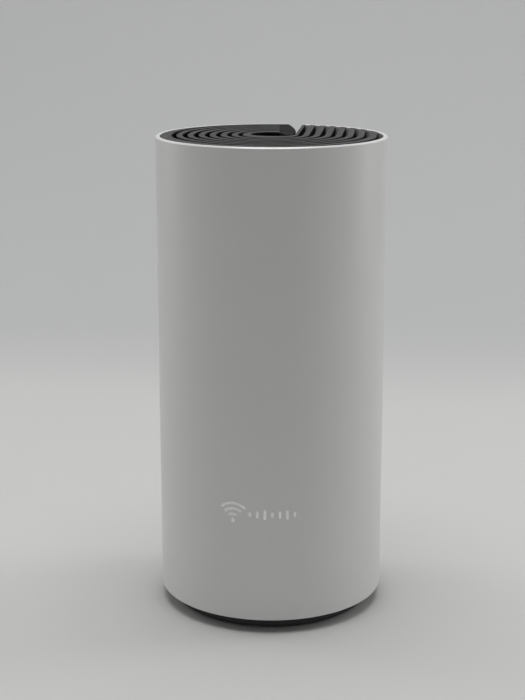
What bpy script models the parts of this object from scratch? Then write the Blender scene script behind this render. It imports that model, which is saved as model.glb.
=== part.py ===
"""Mesh wifi node: a free-standing round wireless router, modelled piece by piece.

All sizes are in millimetres and become metres where a mesh is made.  The origin is on
the body's axis at the surface it stands on, +Z is up, the plain front faces -Y and the
sockets face +Y.
"""
import math

import bmesh
import bpy
from mathutils import Matrix, Vector

MM = 0.001
GAP = 0.3                    # clearance between pieces that touch

# Outer form
BODY_RADIUS = 45.35
BODY_HEIGHT = 190.0
WALL = 1.8
SHELL_BOTTOM = 5.5           # the shell hovers above the surface on a smaller foot
SHELL_INNER = BODY_RADIUS - WALL
RIM_ROUND = 0.9
FOOT_RADIUS = 40.35
ROUND_STEPS = 72

# Base and feet
BASE_BOTTOM = 0.8
BASE_FLOOR = 3.2
BASE_TOP = 12.7
FOOT_PAD_INNER = 31.0
FOOT_PAD_OUTER = 38.0
FOOT_PAD_TOP = 1.8
BASE_SCREW_RADIUS = 35.0
BASE_SCREW_ANGLES = (45.0, 135.0, 225.0, 315.0)

# Chassis
LEDGE_BOTTOM = 13.0
LEDGE_TOP = 14.5
RING_INNER = 33.0
RING_OUTER = 41.4
LOWER_RING = (14.8, 17.0)
UPPER_RING = (168.7, 171.2)
RAIL_INNER_X = 31.4
RAIL_OUTER_X = 36.5
RAIL_Y = (9.0, 19.0)

# Vent cap: concentric slots that run out straight to the back on the right
VENT_RADIUS = SHELL_INNER - GAP
VENT_BOTTOM = 181.0
VENT_FRAME_TOP = 184.6
SLOT_FLOOR = 184.2
SLOT_COUNT = 7
SLOT_FIRST_RADIUS = 11.8
SLOT_PITCH = 4.3
SLOT_WIDTH = 2.0
SWIRL_X = -0.5
SWIRL_BACK_Y = 3.75
EYE_CENTRE = (-0.9, 2.8)
EYE_RADIUS = 7.6
NOTCH_RIGHT_X = 9.1
NOTCH_TIP = (8.5, 13.5)
VENT_SCREW_RADIUS = 37.2
VENT_SCREW_ANGLES = (-12.0, 115.0, 192.0)

# Rear groove and socket bay
GROOVE_LEFT_X = 2.7
GROOVE_RIGHT_X = 9.2
GROOVE_FLOOR_Y = 34.0
BAY_HALF_WIDTH = 25.0
BAY_Z = (17.0, 64.0)
BAY_CORNER = 5.0
PANEL_Y = (33.6, 35.1)
PANEL_WALL = 1.5
JACK_FRONT_Y = 34.6
LAN_X = 10.0
LAN_Z = 46.5
LAN_SIZE = (15.8, 13.4)
DC_Z = 27.0
DC_SIZE = (9.0, 11.0)

# Main board, upright across the body
BOARD_Y = (13.2, 14.8)
BOARD_HALF_WIDTH = 33.0
BOARD_Z = (20.0, 166.0)
HEAT_SINK_Z = (75.0, 160.0)
HEAT_SINK_HALF_WIDTH = 26.0
HEAT_SINK_PLATE_Y = (5.8, 8.8)
HEAT_SINK_FIN_Y = -6.0
HEAT_SINK_SCREWS = ((-21.0, 80.0), (21.0, 80.0), (-21.0, 155.0), (21.0, 155.0))

# Button board in the base
BUTTON_BOARD_X = (-16.0, 20.0)
BUTTON_BOARD_Y = (-34.0, -16.0)
BUTTON_BOARD_Z = (11.2, 12.4)
BUTTON_BOARD_SCREWS = ((-12.0, -20.0), (16.0, -29.0))
RESET_XY = (4.0, -25.0)
RESET_HOLE_RADIUS = 2.3

# Antennas: name, angle round the axis, width, lowest point
ANTENNAS = (
    ("antenna_24_left", -150.0, 12.0, 126.0),
    ("antenna_5_left", -118.0, 9.0, 140.0),
    ("antenna_5_right", -62.0, 9.0, 140.0),
    ("antenna_24_right", -30.0, 12.0, 126.0),
)
ANTENNA_INNER = 35.7
ANTENNA_THICKNESS = 0.8

# Antenna leads on the right, from antenna to board; those on the left mirror them
COAX_RADIUS = 0.565
COAX_ROUTES = (
    ((30.3, -17.6, 128.0), (30.0, -17.0, 124.5), (31.0, -11.0, 119.5),
     (31.2, -3.0, 117.0), (30.6, 5.0, 116.6), (29.8, 12.0, 117.0)),
    ((16.2, -30.6, 142.0), (16.8, -30.0, 137.0), (22.0, -26.5, 127.0),
     (28.5, -19.0, 113.0), (31.4, -8.0, 106.0), (30.8, 3.0, 104.0), (29.8, 12.0, 104.0)),
)


# ---------------------------------------------------------------- scene and materials

def clear_scene():
    for item in list(bpy.data.objects):
        bpy.data.objects.remove(item, do_unlink=True)


def material(name, colour, roughness, metallic=0.0, alpha=1.0):
    """Return the named Principled material, made on first use."""
    found = bpy.data.materials.get(name)
    if found:
        return found
    made = bpy.data.materials.new(name)
    made.use_nodes = True
    shader = made.node_tree.nodes["Principled BSDF"]
    shader.inputs["Base Color"].default_value = (*colour, 1.0)
    shader.inputs["Roughness"].default_value = roughness
    shader.inputs["Metallic"].default_value = metallic
    shader.inputs["Alpha"].default_value = alpha
    made.diffuse_color = (*colour, alpha)
    return made


def white_plastic():
    return material("white_shell", (0.76, 0.76, 0.75), 0.42)


def dark_plastic(name):
    return material(name, (0.045, 0.046, 0.05), 0.5)


def board_green(name):
    return material(name, (0.02, 0.13, 0.06), 0.45)


def steel(name):
    return material(name, (0.62, 0.62, 0.64), 0.32, metallic=1.0)


def aluminium(name):
    return material(name, (0.7, 0.71, 0.72), 0.4, metallic=1.0)


def gold(name):
    return material(name, (0.83, 0.62, 0.25), 0.3, metallic=1.0)


def black_rubber(name):
    return material(name, (0.03, 0.03, 0.032), 0.85)


# ---------------------------------------------------------------- mesh building blocks

def add_object(name, mesh, finish, location=(0.0, 0.0, 0.0)):
    """Put a mesh into the scene under a name, with one material and smooth round sides."""
    mesh.materials.clear()
    mesh.materials.append(finish)
    mesh.shade_smooth()
    mesh.set_sharp_from_angle(angle=math.radians(35.0))
    made = bpy.data.objects.new(name, mesh)
    made.location = Vector(location) * MM
    bpy.context.collection.objects.link(made)
    return made


def mesh_of(work, name):
    """Turn a bmesh in millimetres into a mesh in metres."""
    bmesh.ops.scale(work, vec=(MM, MM, MM), verts=work.verts)
    mesh = bpy.data.meshes.new(name)
    work.to_mesh(mesh)
    work.free()
    return mesh


def counterclockwise(outline):
    """Return the outline in counterclockwise order, so that the solid's faces point out."""
    doubled_area = 0.0
    for (x, y), (next_x, next_y) in zip(outline, outline[1:] + outline[:1]):
        doubled_area += x * next_y - next_x * y
    return outline if doubled_area > 0.0 else outline[::-1]


def lift(point, height, axis):
    """Place a 2D outline point at a height along the axis that the outline is swept on."""
    across, along = point
    if axis == "Z":
        return (across, along, height)
    if axis == "Y":
        return (across, height, along)
    return (height, across, along)


def add_prism(work, outline, low, high, axis="Z"):
    """Sweep a closed outline between two heights; the outline is XY, XZ or YZ."""
    outline = counterclockwise(outline)
    if axis == "Y":
        outline = outline[::-1]
    bottom = [work.verts.new(lift(point, low, axis)) for point in outline]
    top = [work.verts.new(lift(point, high, axis)) for point in outline]
    work.faces.new(reversed(bottom))
    work.faces.new(top)
    for index, corner in enumerate(bottom):
        following = (index + 1) % len(bottom)
        work.faces.new((corner, bottom[following], top[following], top[index]))


def prism(name, outline, low, high, axis="Z"):
    work = bmesh.new()
    add_prism(work, outline, low, high, axis)
    return mesh_of(work, name)


def turned(name, profile, steps=ROUND_STEPS):
    """Turn a closed profile of (radius, z) points about Z; it may touch the axis."""
    work = bmesh.new()
    rings = []
    for radius, height in counterclockwise(profile):
        if radius < 1e-6:
            rings.append([work.verts.new((0.0, 0.0, height))] * steps)
            continue
        ring = []
        for step in range(steps):
            angle = 2.0 * math.pi * step / steps
            ring.append(work.verts.new((radius * math.cos(angle), radius * math.sin(angle), height)))
        rings.append(ring)
    for first, second in zip(rings, rings[1:] + rings[:1]):
        for step in range(steps):
            after = (step + 1) % steps
            corners = []
            for corner in (first[step], first[after], second[after], second[step]):
                if corner not in corners:
                    corners.append(corner)
            if len(corners) > 2:
                work.faces.new(corners)
    return mesh_of(work, name)


def arc(centre, radius, start, end, steps):
    """Points on an arc between two angles in degrees, both ends included."""
    points = []
    for step in range(steps + 1):
        angle = math.radians(start + (end - start) * step / steps)
        points.append((centre[0] + radius * math.cos(angle), centre[1] + radius * math.sin(angle)))
    return points


def circle(centre, radius, steps):
    return arc(centre, radius, 0.0, 360.0, steps)[:-1]


def rectangle(low_x, high_x, low_y, high_y):
    return [(low_x, low_y), (high_x, low_y), (high_x, high_y), (low_x, high_y)]


def rounded_rectangle(low_x, high_x, low_y, high_y, radius, steps=4):
    corners = (
        ((high_x - radius, high_y - radius), 0.0),
        ((low_x + radius, high_y - radius), 90.0),
        ((low_x + radius, low_y + radius), 180.0),
        ((high_x - radius, low_y + radius), 270.0),
    )
    outline = []
    for centre, start in corners:
        outline += arc(centre, radius, start, start + 90.0, steps)
    return outline


def box(name, span_x, span_y, span_z):
    return prism(name, rectangle(*span_x, *span_y), *span_z)


def add_tool(mesh):
    """A Boolean's operand: in the scene, never part of the object."""
    tool = bpy.data.objects.new("tool_" + mesh.name, mesh)
    tool.hide_render = True
    tool.display_type = "WIRE"
    bpy.context.collection.objects.link(tool)
    return tool


def combine(target, mesh, operation):
    """Cut a mesh out of the target or weld it on, with a Boolean modifier."""
    modifier = target.modifiers.new(operation.lower() + "_" + mesh.name, "BOOLEAN")
    modifier.operation = operation
    modifier.solver = "EXACT"
    modifier.object = add_tool(mesh)


def cut(target, *meshes):
    for mesh in meshes:
        combine(target, mesh, "DIFFERENCE")


def weld(target, *meshes):
    for mesh in meshes:
        combine(target, mesh, "UNION")


def polar(radius, angle):
    return (radius * math.cos(math.radians(angle)), radius * math.sin(math.radians(angle)))


# ---------------------------------------------------------------- housing

def make_outer_shell():
    """White tube with a clamping ledge inside, a rear groove slot and a socket window."""
    rim_centre = (BODY_RADIUS - RIM_ROUND, BODY_HEIGHT - RIM_ROUND)
    profile = [(BODY_RADIUS - 0.4, SHELL_BOTTOM), (BODY_RADIUS, SHELL_BOTTOM + 0.4)]
    profile += arc(rim_centre, RIM_ROUND, 0.0, 90.0, 3)
    profile += [
        (SHELL_INNER, BODY_HEIGHT),
        (SHELL_INNER, LEDGE_TOP),
        (RING_OUTER + GAP, LEDGE_TOP),
        (RING_OUTER + GAP, LEDGE_BOTTOM),
        (SHELL_INNER, LEDGE_BOTTOM),
        (SHELL_INNER, SHELL_BOTTOM),
    ]
    shell = add_object("outer_shell", turned("outer_shell", profile), white_plastic())
    groove = rectangle(GROOVE_LEFT_X, GROOVE_RIGHT_X, 30.0, 50.0)
    window = rounded_rectangle(-BAY_HALF_WIDTH, BAY_HALF_WIDTH, *BAY_Z, BAY_CORNER)
    cut(
        shell,
        prism("groove_slot", groove, BAY_Z[1] - 2.0, BODY_HEIGHT + 5.0),
        prism("socket_window", window, 20.0, 50.0, "Y"),
    )


def slot_outline(radius):
    """One vent slot: from the right rear rim, round the front, the left and the back."""
    inner = radius - SLOT_WIDTH / 2.0
    outer = radius + SLOT_WIDTH / 2.0
    reach = BODY_RADIUS + 2.0
    end_x = tongue_left_x(SWIRL_BACK_Y + radius) - SWIRL_X
    end_angle = math.degrees(math.acos(end_x / radius))
    turns = 14 if radius > 22.0 else 10
    front = (SWIRL_X, 0.0)
    back = (SWIRL_X, SWIRL_BACK_Y)
    outline = [(SWIRL_X + outer, reach)]
    outline += arc(front, outer, 0.0, -180.0, turns)
    outline += arc(back, outer, 180.0, end_angle, turns // 2)
    outline += arc(back, inner, end_angle, 180.0, turns // 2)
    outline += arc(front, inner, -180.0, 0.0, turns)
    outline += [(SWIRL_X + inner, reach)]
    return outline


def tongue_left_x(y):
    """The left edge of the smooth tongue beside the notch, where the fins end."""
    front = (2.35, 9.7)
    back = (-0.7, 43.0)
    share = (y - front[1]) / (back[1] - front[1])
    return front[0] + share * (back[0] - front[0])


def notch_left_x(y):
    """The notch's slightly bowed left edge, from its tip to the rim."""
    run = y - NOTCH_TIP[1]
    return NOTCH_TIP[0] - 0.1 * run - 0.0027 * run * run


def eye_and_notch_outline():
    """The central eye, the thin gap round the tongue's end and the notch, as one opening."""
    rim_y = BODY_RADIUS + 2.0
    outline = [(NOTCH_RIGHT_X, rim_y)]
    outline += arc((2.6, 1.7), 6.5, 0.0, -90.0, 7)
    outline += arc(EYE_CENTRE, EYE_RADIUS, -90.0, -295.0, 14)
    outline += arc((6.85, 0.8), 1.65, 190.0, 360.0, 6)
    for step in range(6):
        y = NOTCH_TIP[1] + (rim_y - NOTCH_TIP[1]) * step / 5.0
        outline.append((notch_left_x(y), y))
    return outline


def rim_crescent_outline():
    """The gap between the outermost fin and the rim, widest on the right."""
    fin_edge_x = 40.9
    fin_centre = (-0.92, -1.1)
    fin_radius = 41.82
    beyond = BODY_RADIUS
    outline = arc((0.0, 0.0), beyond, -130.0, 25.0, 16)
    outline += [(fin_edge_x, 20.0)]
    outline += arc(fin_centre, fin_radius, 0.0, -126.0, 14)
    return outline


def pocket_outline(start, end):
    """One underside pocket between two spokes of the vent's frame."""
    inner, outer = 14.0, 39.8
    half_spoke = 1.3
    inner_turn = math.degrees(half_spoke / inner)
    outer_turn = math.degrees(half_spoke / outer)
    outline = arc((0.0, 0.0), outer, start + outer_turn, end - outer_turn, 6)
    outline += arc((0.0, 0.0), inner, end - inner_turn, start + inner_turn, 3)
    return outline


def make_top_vent():
    """Dark vent cap: swirling fins above a spoked frame, with three screw bosses."""
    disc = circle((0.0, 0.0), VENT_RADIUS, ROUND_STEPS)
    vent = add_object("top_vent", prism("top_vent", disc, VENT_BOTTOM, BODY_HEIGHT),
                      dark_plastic("vent_plastic"))
    pockets = bmesh.new()
    spokes = (-84.0, -48.0, -12.0, 24.0, 60.0, 115.0, 153.0, 192.0, 234.0, 276.0)
    for start, end in zip(spokes, spokes[1:]):
        add_prism(pockets, pocket_outline(start, end), VENT_BOTTOM - 1.0, VENT_FRAME_TOP)
    slots = bmesh.new()
    for index in range(SLOT_COUNT):
        outline = slot_outline(SLOT_FIRST_RADIUS + SLOT_PITCH * index)
        add_prism(slots, outline, SLOT_FLOOR, BODY_HEIGHT + 1.0)
    cut(
        vent,
        mesh_of(pockets, "vent_pockets"),
        mesh_of(slots, "vent_slots"),
        prism("rim_crescent", rim_crescent_outline(), SLOT_FLOOR, BODY_HEIGHT + 1.0),
    )
    for number, angle in enumerate(VENT_SCREW_ANGLES, 1):
        centre = polar(VENT_SCREW_RADIUS, angle)
        boss = prism(f"vent_boss_{number}", circle(centre, 2.9, 16), UPPER_RING[1] + GAP, 183.0)
        weld(vent, boss)
        pilot = prism(f"vent_pilot_{number}", circle(centre, 1.3, 12), UPPER_RING[1] - 1.0, 181.0)
        cut(vent, pilot)
    cut(vent, prism("eye_and_notch", eye_and_notch_outline(), VENT_BOTTOM - 2.0, BODY_HEIGHT + 2.0))


def make_rear_spine():
    """Dark liner of the rear groove, with a shelf that closes it below the vent's notch."""
    wall = 1.5
    low, high = BAY_Z[1], VENT_BOTTOM - GAP
    left_floor_x = notch_left_x(GROOVE_FLOOR_Y)
    lip = SHELL_INNER - GAP

    def on_lip(x):
        return (x, math.sqrt(lip * lip - x * x))

    outline = [
        on_lip(GROOVE_LEFT_X - wall),
        (left_floor_x - wall, GROOVE_FLOOR_Y - wall),
        (GROOVE_RIGHT_X + wall, GROOVE_FLOOR_Y - wall),
        on_lip(GROOVE_RIGHT_X + wall),
        on_lip(GROOVE_RIGHT_X),
        (GROOVE_RIGHT_X, GROOVE_FLOOR_Y),
        (left_floor_x, GROOVE_FLOOR_Y),
        on_lip(GROOVE_LEFT_X),
    ]
    spine = add_object("rear_spine", prism("rear_spine", outline, low, high),
                       dark_plastic("spine_plastic"))
    shelf = rectangle(left_floor_x - wall, GROOVE_RIGHT_X + wall, 16.0, GROOVE_FLOOR_Y - 0.5)
    weld(spine, prism("spine_shelf", shelf, high - 1.6, high))


def make_port_panel():
    """Dark tub that fills the socket window, with openings for the three sockets."""
    half = BAY_HALF_WIDTH - GAP
    low, high = BAY_Z[0] + GAP, BAY_Z[1] - GAP
    tub_outline = rounded_rectangle(-half, half, low, high, BAY_CORNER - GAP)
    inset = PANEL_WALL
    well = rounded_rectangle(-half + inset, half - inset, low + inset, high - inset,
                             BAY_CORNER - GAP - inset)
    panel = add_object("port_panel", prism("port_panel", tub_outline, PANEL_Y[0], 50.0, "Y"),
                       dark_plastic("panel_plastic"))
    trim = turned("panel_trim", [(BODY_RADIUS - 0.4, 10.0), (60.0, 10.0),
                                 (60.0, 70.0), (BODY_RADIUS - 0.4, 70.0)])
    groove = rectangle(GROOVE_LEFT_X, GROOVE_RIGHT_X, PANEL_Y[1], 50.0)
    cut(
        panel,
        prism("panel_well", well, PANEL_Y[1], 52.0, "Y"),
        trim,
        prism("panel_groove", groove, high - inset - 1.0, high + 2.0),
    )
    for number, side in enumerate((-1.0, 1.0), 1):
        cut(panel, socket_window(f"lan_window_{number}", side * LAN_X, LAN_Z, LAN_SIZE))
    cut(panel, socket_window("dc_window", 0.0, DC_Z, DC_SIZE))


def socket_window(name, x, z, size):
    half_x = size[0] / 2.0 + GAP
    half_z = size[1] / 2.0 + GAP
    return prism(name, rectangle(x - half_x, x + half_x, z - half_z, z + half_z), 30.0, 40.0, "Y")


def make_base_cover():
    """Dark foot of the body: floor with air slots, screw posts and the reset hole."""
    profile = [
        (0.0, BASE_BOTTOM),
        (FOOT_RADIUS - 0.65, BASE_BOTTOM),
        (FOOT_RADIUS, BASE_BOTTOM + 0.65),
        (FOOT_RADIUS, SHELL_BOTTOM + GAP),
        (SHELL_INNER - GAP, SHELL_BOTTOM + GAP),
        (SHELL_INNER - GAP, BASE_TOP),
        (41.6, BASE_TOP),
        (41.6, 7.6),
        (38.4, 7.6),
        (38.4, BASE_FLOOR),
        (0.0, BASE_FLOOR),
    ]
    base = add_object("base_cover", turned("base_cover", profile, 60),
                      dark_plastic("base_plastic"))
    pad_groove = [
        (FOOT_PAD_INNER - GAP, 0.0),
        (FOOT_PAD_OUTER + GAP, 0.0),
        (FOOT_PAD_OUTER + GAP, FOOT_PAD_TOP + GAP),
        (FOOT_PAD_INNER - GAP, FOOT_PAD_TOP + GAP),
    ]
    posts = []
    holes = []
    for number, angle in enumerate(BASE_SCREW_ANGLES, 1):
        centre = polar(BASE_SCREW_RADIUS, angle)
        posts.append(prism(f"base_post_{number}", circle(centre, 4.2, 12), 2.6, LEDGE_TOP))
        holes.append(prism(f"base_bore_{number}", circle(centre, 1.6, 10), 1.0, LEDGE_TOP + 1.0))
        holes.append(prism(f"base_sink_{number}", circle(centre, 3.0, 12), 1.0, 6.2))
    for number, centre in enumerate(BUTTON_BOARD_SCREWS, 1):
        top = BUTTON_BOARD_Z[0] - GAP
        posts.append(prism(f"board_post_{number}", circle(centre, 2.4, 14), 2.8, top))
        holes.append(prism(f"board_pilot_{number}", circle(centre, 1.2, 10), 5.0, top + 1.0))
    weld(base, *posts)
    cut(base, turned("pad_groove", pad_groove, 40), *holes)
    cut(
        base,
        base_air_slots(),
        prism("reset_hole", circle(RESET_XY, RESET_HOLE_RADIUS, 20), 0.0, 5.0),
        led_window_mesh("led_hole", GAP, 37.0, 42.0),
    )


def base_air_slots():
    """Radial air slots in the floor, except at the front, under the button board."""
    work = bmesh.new()
    for index in range(17):
        angle = -30.0 + 15.0 * index
        along = Vector(polar(1.0, angle))
        across = Vector((-along.y, along.x)) * 0.9
        corners = (along * 21.0 - across, along * 28.5 - across,
                   along * 28.5 + across, along * 21.0 + across)
        add_prism(work, [tuple(corner) for corner in corners], 0.0, 5.0)
    return mesh_of(work, "base_air_slots")


def led_window_mesh(name, margin, inner, outer):
    """A short curved bar in the front of the foot wall."""
    half_turn = 6.0 + math.degrees(margin / FOOT_RADIUS)
    outline = arc((0.0, 0.0), outer, -90.0 - half_turn, -90.0 + half_turn, 4)
    outline += arc((0.0, 0.0), inner, -90.0 + half_turn, -90.0 - half_turn, 4)
    return prism(name, outline, 3.6 - margin, 5.0 + margin)


def make_base_details():
    lens = led_window_mesh("led_window", 0.0, 38.2, FOOT_RADIUS - 0.1)
    add_object("led_window", lens, material("smoked_lens", (0.12, 0.12, 0.13), 0.15, alpha=0.7))
    pad_profile = [
        (FOOT_PAD_INNER + 0.5, 0.0),
        (FOOT_PAD_OUTER - 0.5, 0.0),
        (FOOT_PAD_OUTER, 0.5),
        (FOOT_PAD_OUTER, FOOT_PAD_TOP),
        (FOOT_PAD_INNER, FOOT_PAD_TOP),
        (FOOT_PAD_INNER, 0.5),
    ]
    add_object("foot_ring", turned("foot_ring", pad_profile, 48), black_rubber("foot_rubber"))
    label = rounded_rectangle(-14.0, 14.0, -10.0, 10.0, 1.5, 3)
    add_object("rating_label", prism("rating_label", label, 0.3, 0.5),
               material("label_paper", (0.72, 0.72, 0.7), 0.6))


# ---------------------------------------------------------------- chassis and boards

def ring_mesh(name, span):
    low, high = span
    profile = [(RING_INNER, low), (RING_OUTER, low), (RING_OUTER, high), (RING_INNER, high)]
    return turned(name, profile, 40)


def make_chassis():
    """Inner frame: two rings, two rails that hold the board, a front post, antenna tabs."""
    chassis = add_object("chassis_frame", ring_mesh("chassis_frame", LOWER_RING),
                         material("chassis_plastic", (0.09, 0.09, 0.095), 0.55))
    rail_low, rail_high = LOWER_RING[0] + 1.0, UPPER_RING[1] - 1.0
    weld(chassis, ring_mesh("upper_ring", UPPER_RING))
    for side in (-1, 1):
        label = "left" if side < 0 else "right"
        x_span = sorted((side * RAIL_INNER_X, side * RAIL_OUTER_X))
        weld(chassis, box(f"{label}_rail", x_span, RAIL_Y, (rail_low, rail_high)))
    weld(chassis, box("front_post", (-3.0, 3.0), (-39.0, -36.0), (rail_low, rail_high)))
    for name, angle, _, low in ANTENNAS:
        weld(chassis, tangent_plate(f"{name}_tab", angle, 33.4, ANTENNA_INNER - GAP, 8.0,
                                    low + 14.0, UPPER_RING[0] + 0.8))
    for number, angle in enumerate(BASE_SCREW_ANGLES, 1):
        centre = polar(BASE_SCREW_RADIUS, angle)
        weld(chassis, prism(f"chassis_boss_{number}", circle(centre, 3.2, 14),
                            LOWER_RING[0] + 0.8, 25.0))
        cut(chassis, prism(f"chassis_pilot_{number}", circle(centre, 1.3, 10), 10.0, 23.0))
    for number, angle in enumerate(VENT_SCREW_ANGLES, 1):
        centre = polar(VENT_SCREW_RADIUS, angle)
        cut(chassis, prism(f"ring_hole_{number}", circle(centre, 1.6, 12), 165.0, 175.0))
    board_slot = box("board_slot", (-BOARD_HALF_WIDTH - GAP, BOARD_HALF_WIDTH + GAP),
                     (BOARD_Y[0] - GAP, BOARD_Y[1] + GAP), (BOARD_Z[0] - GAP, BOARD_Z[1] + GAP))
    spine_gap = box("spine_gap", (-2.0, GROOVE_RIGHT_X + 3.0), (28.0, 50.0), (160.0, 175.0))
    cut(chassis, board_slot, spine_gap)


def tangent_plate(name, angle, inner, outer, width, low, high):
    """A plate that faces outwards from the axis at an angle."""
    along = Vector(polar(1.0, angle))
    across = Vector((-along.y, along.x)) * (width / 2.0)
    corners = (along * inner - across, along * outer - across,
               along * outer + across, along * inner + across)
    return prism(name, [tuple(corner) for corner in corners], low, high)


def make_main_board():
    """Upright circuit board with holes for the heat sink's screws."""
    board = add_object("main_board",
                       box("main_board", (-BOARD_HALF_WIDTH, BOARD_HALF_WIDTH), BOARD_Y, BOARD_Z),
                       board_green("main_board_mask"))
    for number, centre in enumerate(HEAT_SINK_SCREWS, 1):
        cut(board, prism(f"board_hole_{number}", circle(centre, 1.6, 12), 10.0, 20.0, "Y"))


def make_heat_sink():
    """Extruded aluminium heat sink whose fins stand upright in the rising air."""
    fin_count = 11
    fin_half = 0.7
    pitch = 2.0 * (HEAT_SINK_HALF_WIDTH - fin_half) / (fin_count - 1)
    plate_front, plate_back = HEAT_SINK_PLATE_Y
    outline = [(HEAT_SINK_HALF_WIDTH, plate_back), (-HEAT_SINK_HALF_WIDTH, plate_back)]
    for index in range(fin_count):
        x = -HEAT_SINK_HALF_WIDTH + fin_half + pitch * index
        left = (x - fin_half, x + fin_half)
        if index > 0:
            outline.append((left[0], plate_front))
        outline.append((left[0], HEAT_SINK_FIN_Y))
        outline.append((left[1], HEAT_SINK_FIN_Y))
        if index < fin_count - 1:
            outline.append((left[1], plate_front))
    sink = add_object("heat_sink", prism("heat_sink", outline, *HEAT_SINK_Z),
                      aluminium("heat_sink_metal"))
    for number, centre in enumerate(HEAT_SINK_SCREWS, 1):
        weld(sink, prism(f"sink_post_{number}", circle(centre, 2.8, 14), 8.0,
                         BOARD_Y[0] - GAP, "Y"))
        cut(sink, prism(f"sink_pilot_{number}", circle(centre, 1.3, 10), 7.0, 16.0, "Y"))


def make_shielded_chip(name, x_span, z_span, chip_size):
    """A chip on the board's front, its shield can and the pad under the heat sink."""
    can_y = (10.4, BOARD_Y[0] - GAP)
    can = add_object(f"{name}_shield", box(f"{name}_shield", x_span, can_y, z_span),
                     steel("shield_tin"))
    wall = 0.5
    inner_x = (x_span[0] + wall, x_span[1] - wall)
    inner_z = (z_span[0] + wall, z_span[1] - wall)
    cut(can, box(f"{name}_can_room", inner_x, (can_y[0] + wall, can_y[1] + 1.0), inner_z))
    centre_x = sum(x_span) / 2.0
    centre_z = sum(z_span) / 2.0
    half = chip_size / 2.0
    chip_y = (11.6, BOARD_Y[0] - GAP)
    chip = box(f"{name}_chip", (centre_x - half, centre_x + half), chip_y,
               (centre_z - half, centre_z + half))
    add_object(f"{name}_chip", chip, material("chip_epoxy", (0.03, 0.03, 0.03), 0.5))
    pad_half = 9.0
    pad = box(f"{name}_thermal_pad", (centre_x - pad_half, centre_x + pad_half), (9.1, 10.1),
              (centre_z - pad_half, centre_z + pad_half))
    add_object(f"{name}_thermal_pad", pad, material("thermal_pad_grey", (0.35, 0.42, 0.5), 0.8))


def make_lan_jack(number, x):
    """A socket's metal shell and the plastic insert that a network plug goes into."""
    half_x, half_z = LAN_SIZE[0] / 2.0, LAN_SIZE[1] / 2.0
    back_y = BOARD_Y[1] + GAP
    shell_wall = 0.5

    def square(margin):
        return rectangle(x - half_x + margin, x + half_x - margin,
                         LAN_Z - half_z + margin, LAN_Z + half_z - margin)

    shell = add_object(f"lan_jack_{number}",
                       prism(f"lan_jack_{number}", square(0.0), back_y, JACK_FRONT_Y, "Y"),
                       steel("jack_steel"))
    cut(shell, prism(f"lan_jack_room_{number}", square(shell_wall), back_y + shell_wall,
                     JACK_FRONT_Y + 1.0, "Y"))
    insert = add_object(f"lan_insert_{number}",
                        prism(f"lan_insert_{number}", square(shell_wall + GAP),
                              back_y + shell_wall + GAP, JACK_FRONT_Y - 0.2, "Y"),
                        dark_plastic("jack_plastic"))
    plug_half = 6.0
    latch_half = 3.2
    plug_low, plug_high, latch_high = LAN_Z - 4.9, LAN_Z + 3.3, LAN_Z + 5.4
    plug_outline = [
        (x - plug_half, plug_low), (x + plug_half, plug_low), (x + plug_half, plug_high),
        (x + latch_half, plug_high), (x + latch_half, latch_high),
        (x - latch_half, latch_high), (x - latch_half, plug_high), (x - plug_half, plug_high),
    ]
    cut(insert, prism(f"plug_room_{number}", plug_outline, JACK_FRONT_Y - 14.0,
                      JACK_FRONT_Y + 1.0, "Y"))


def make_dc_jack():
    """Round power socket with its centre pin."""
    half_x, half_z = DC_SIZE[0] / 2.0, DC_SIZE[1] / 2.0
    back_y = BOARD_Y[1] + GAP
    room_floor = JACK_FRONT_Y - 10.0
    body = add_object("dc_jack",
                      prism("dc_jack", rectangle(-half_x, half_x, DC_Z - half_z, DC_Z + half_z),
                            back_y, JACK_FRONT_Y, "Y"),
                      dark_plastic("dc_jack_plastic"))
    cut(body, prism("dc_room", circle((0.0, DC_Z), 3.2, 24), room_floor, JACK_FRONT_Y + 1.0, "Y"))
    pin = prism("dc_pin", circle((0.0, DC_Z), 1.0, 16), room_floor + GAP, JACK_FRONT_Y - 1.0, "Y")
    add_object("dc_pin", pin, gold("pin_metal"))


def make_board_parts():
    """Transformers behind the board; inductor and capacitors in front of it."""
    back = BOARD_Y[1] + GAP
    front = BOARD_Y[0] - GAP
    for number, x in enumerate((-LAN_X, LAN_X), 1):
        name = f"lan_transformer_{number}"
        mesh = box(name, (x - 6.5, x + 6.5), (back, back + 5.6), (58.0, 66.0))
        add_object(name, mesh, material("transformer_epoxy", (0.025, 0.025, 0.03), 0.45))
    coil = rounded_rectangle(10.0, 22.0, 30.0, 42.0, 2.5, 3)
    add_object("power_inductor", prism("power_inductor", coil, front - 6.0, front, "Y"),
               material("ferrite", (0.08, 0.08, 0.085), 0.6))
    for number, (x, z) in enumerate(((-22.0, 34.0), (-10.0, 34.0), (2.0, 34.0)), 1):
        can = prism(f"capacitor_{number}", circle((x, z), 4.0, 20), front - 10.0, front, "Y")
        add_object(f"capacitor_{number}", can, aluminium("capacitor_can"))


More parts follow.
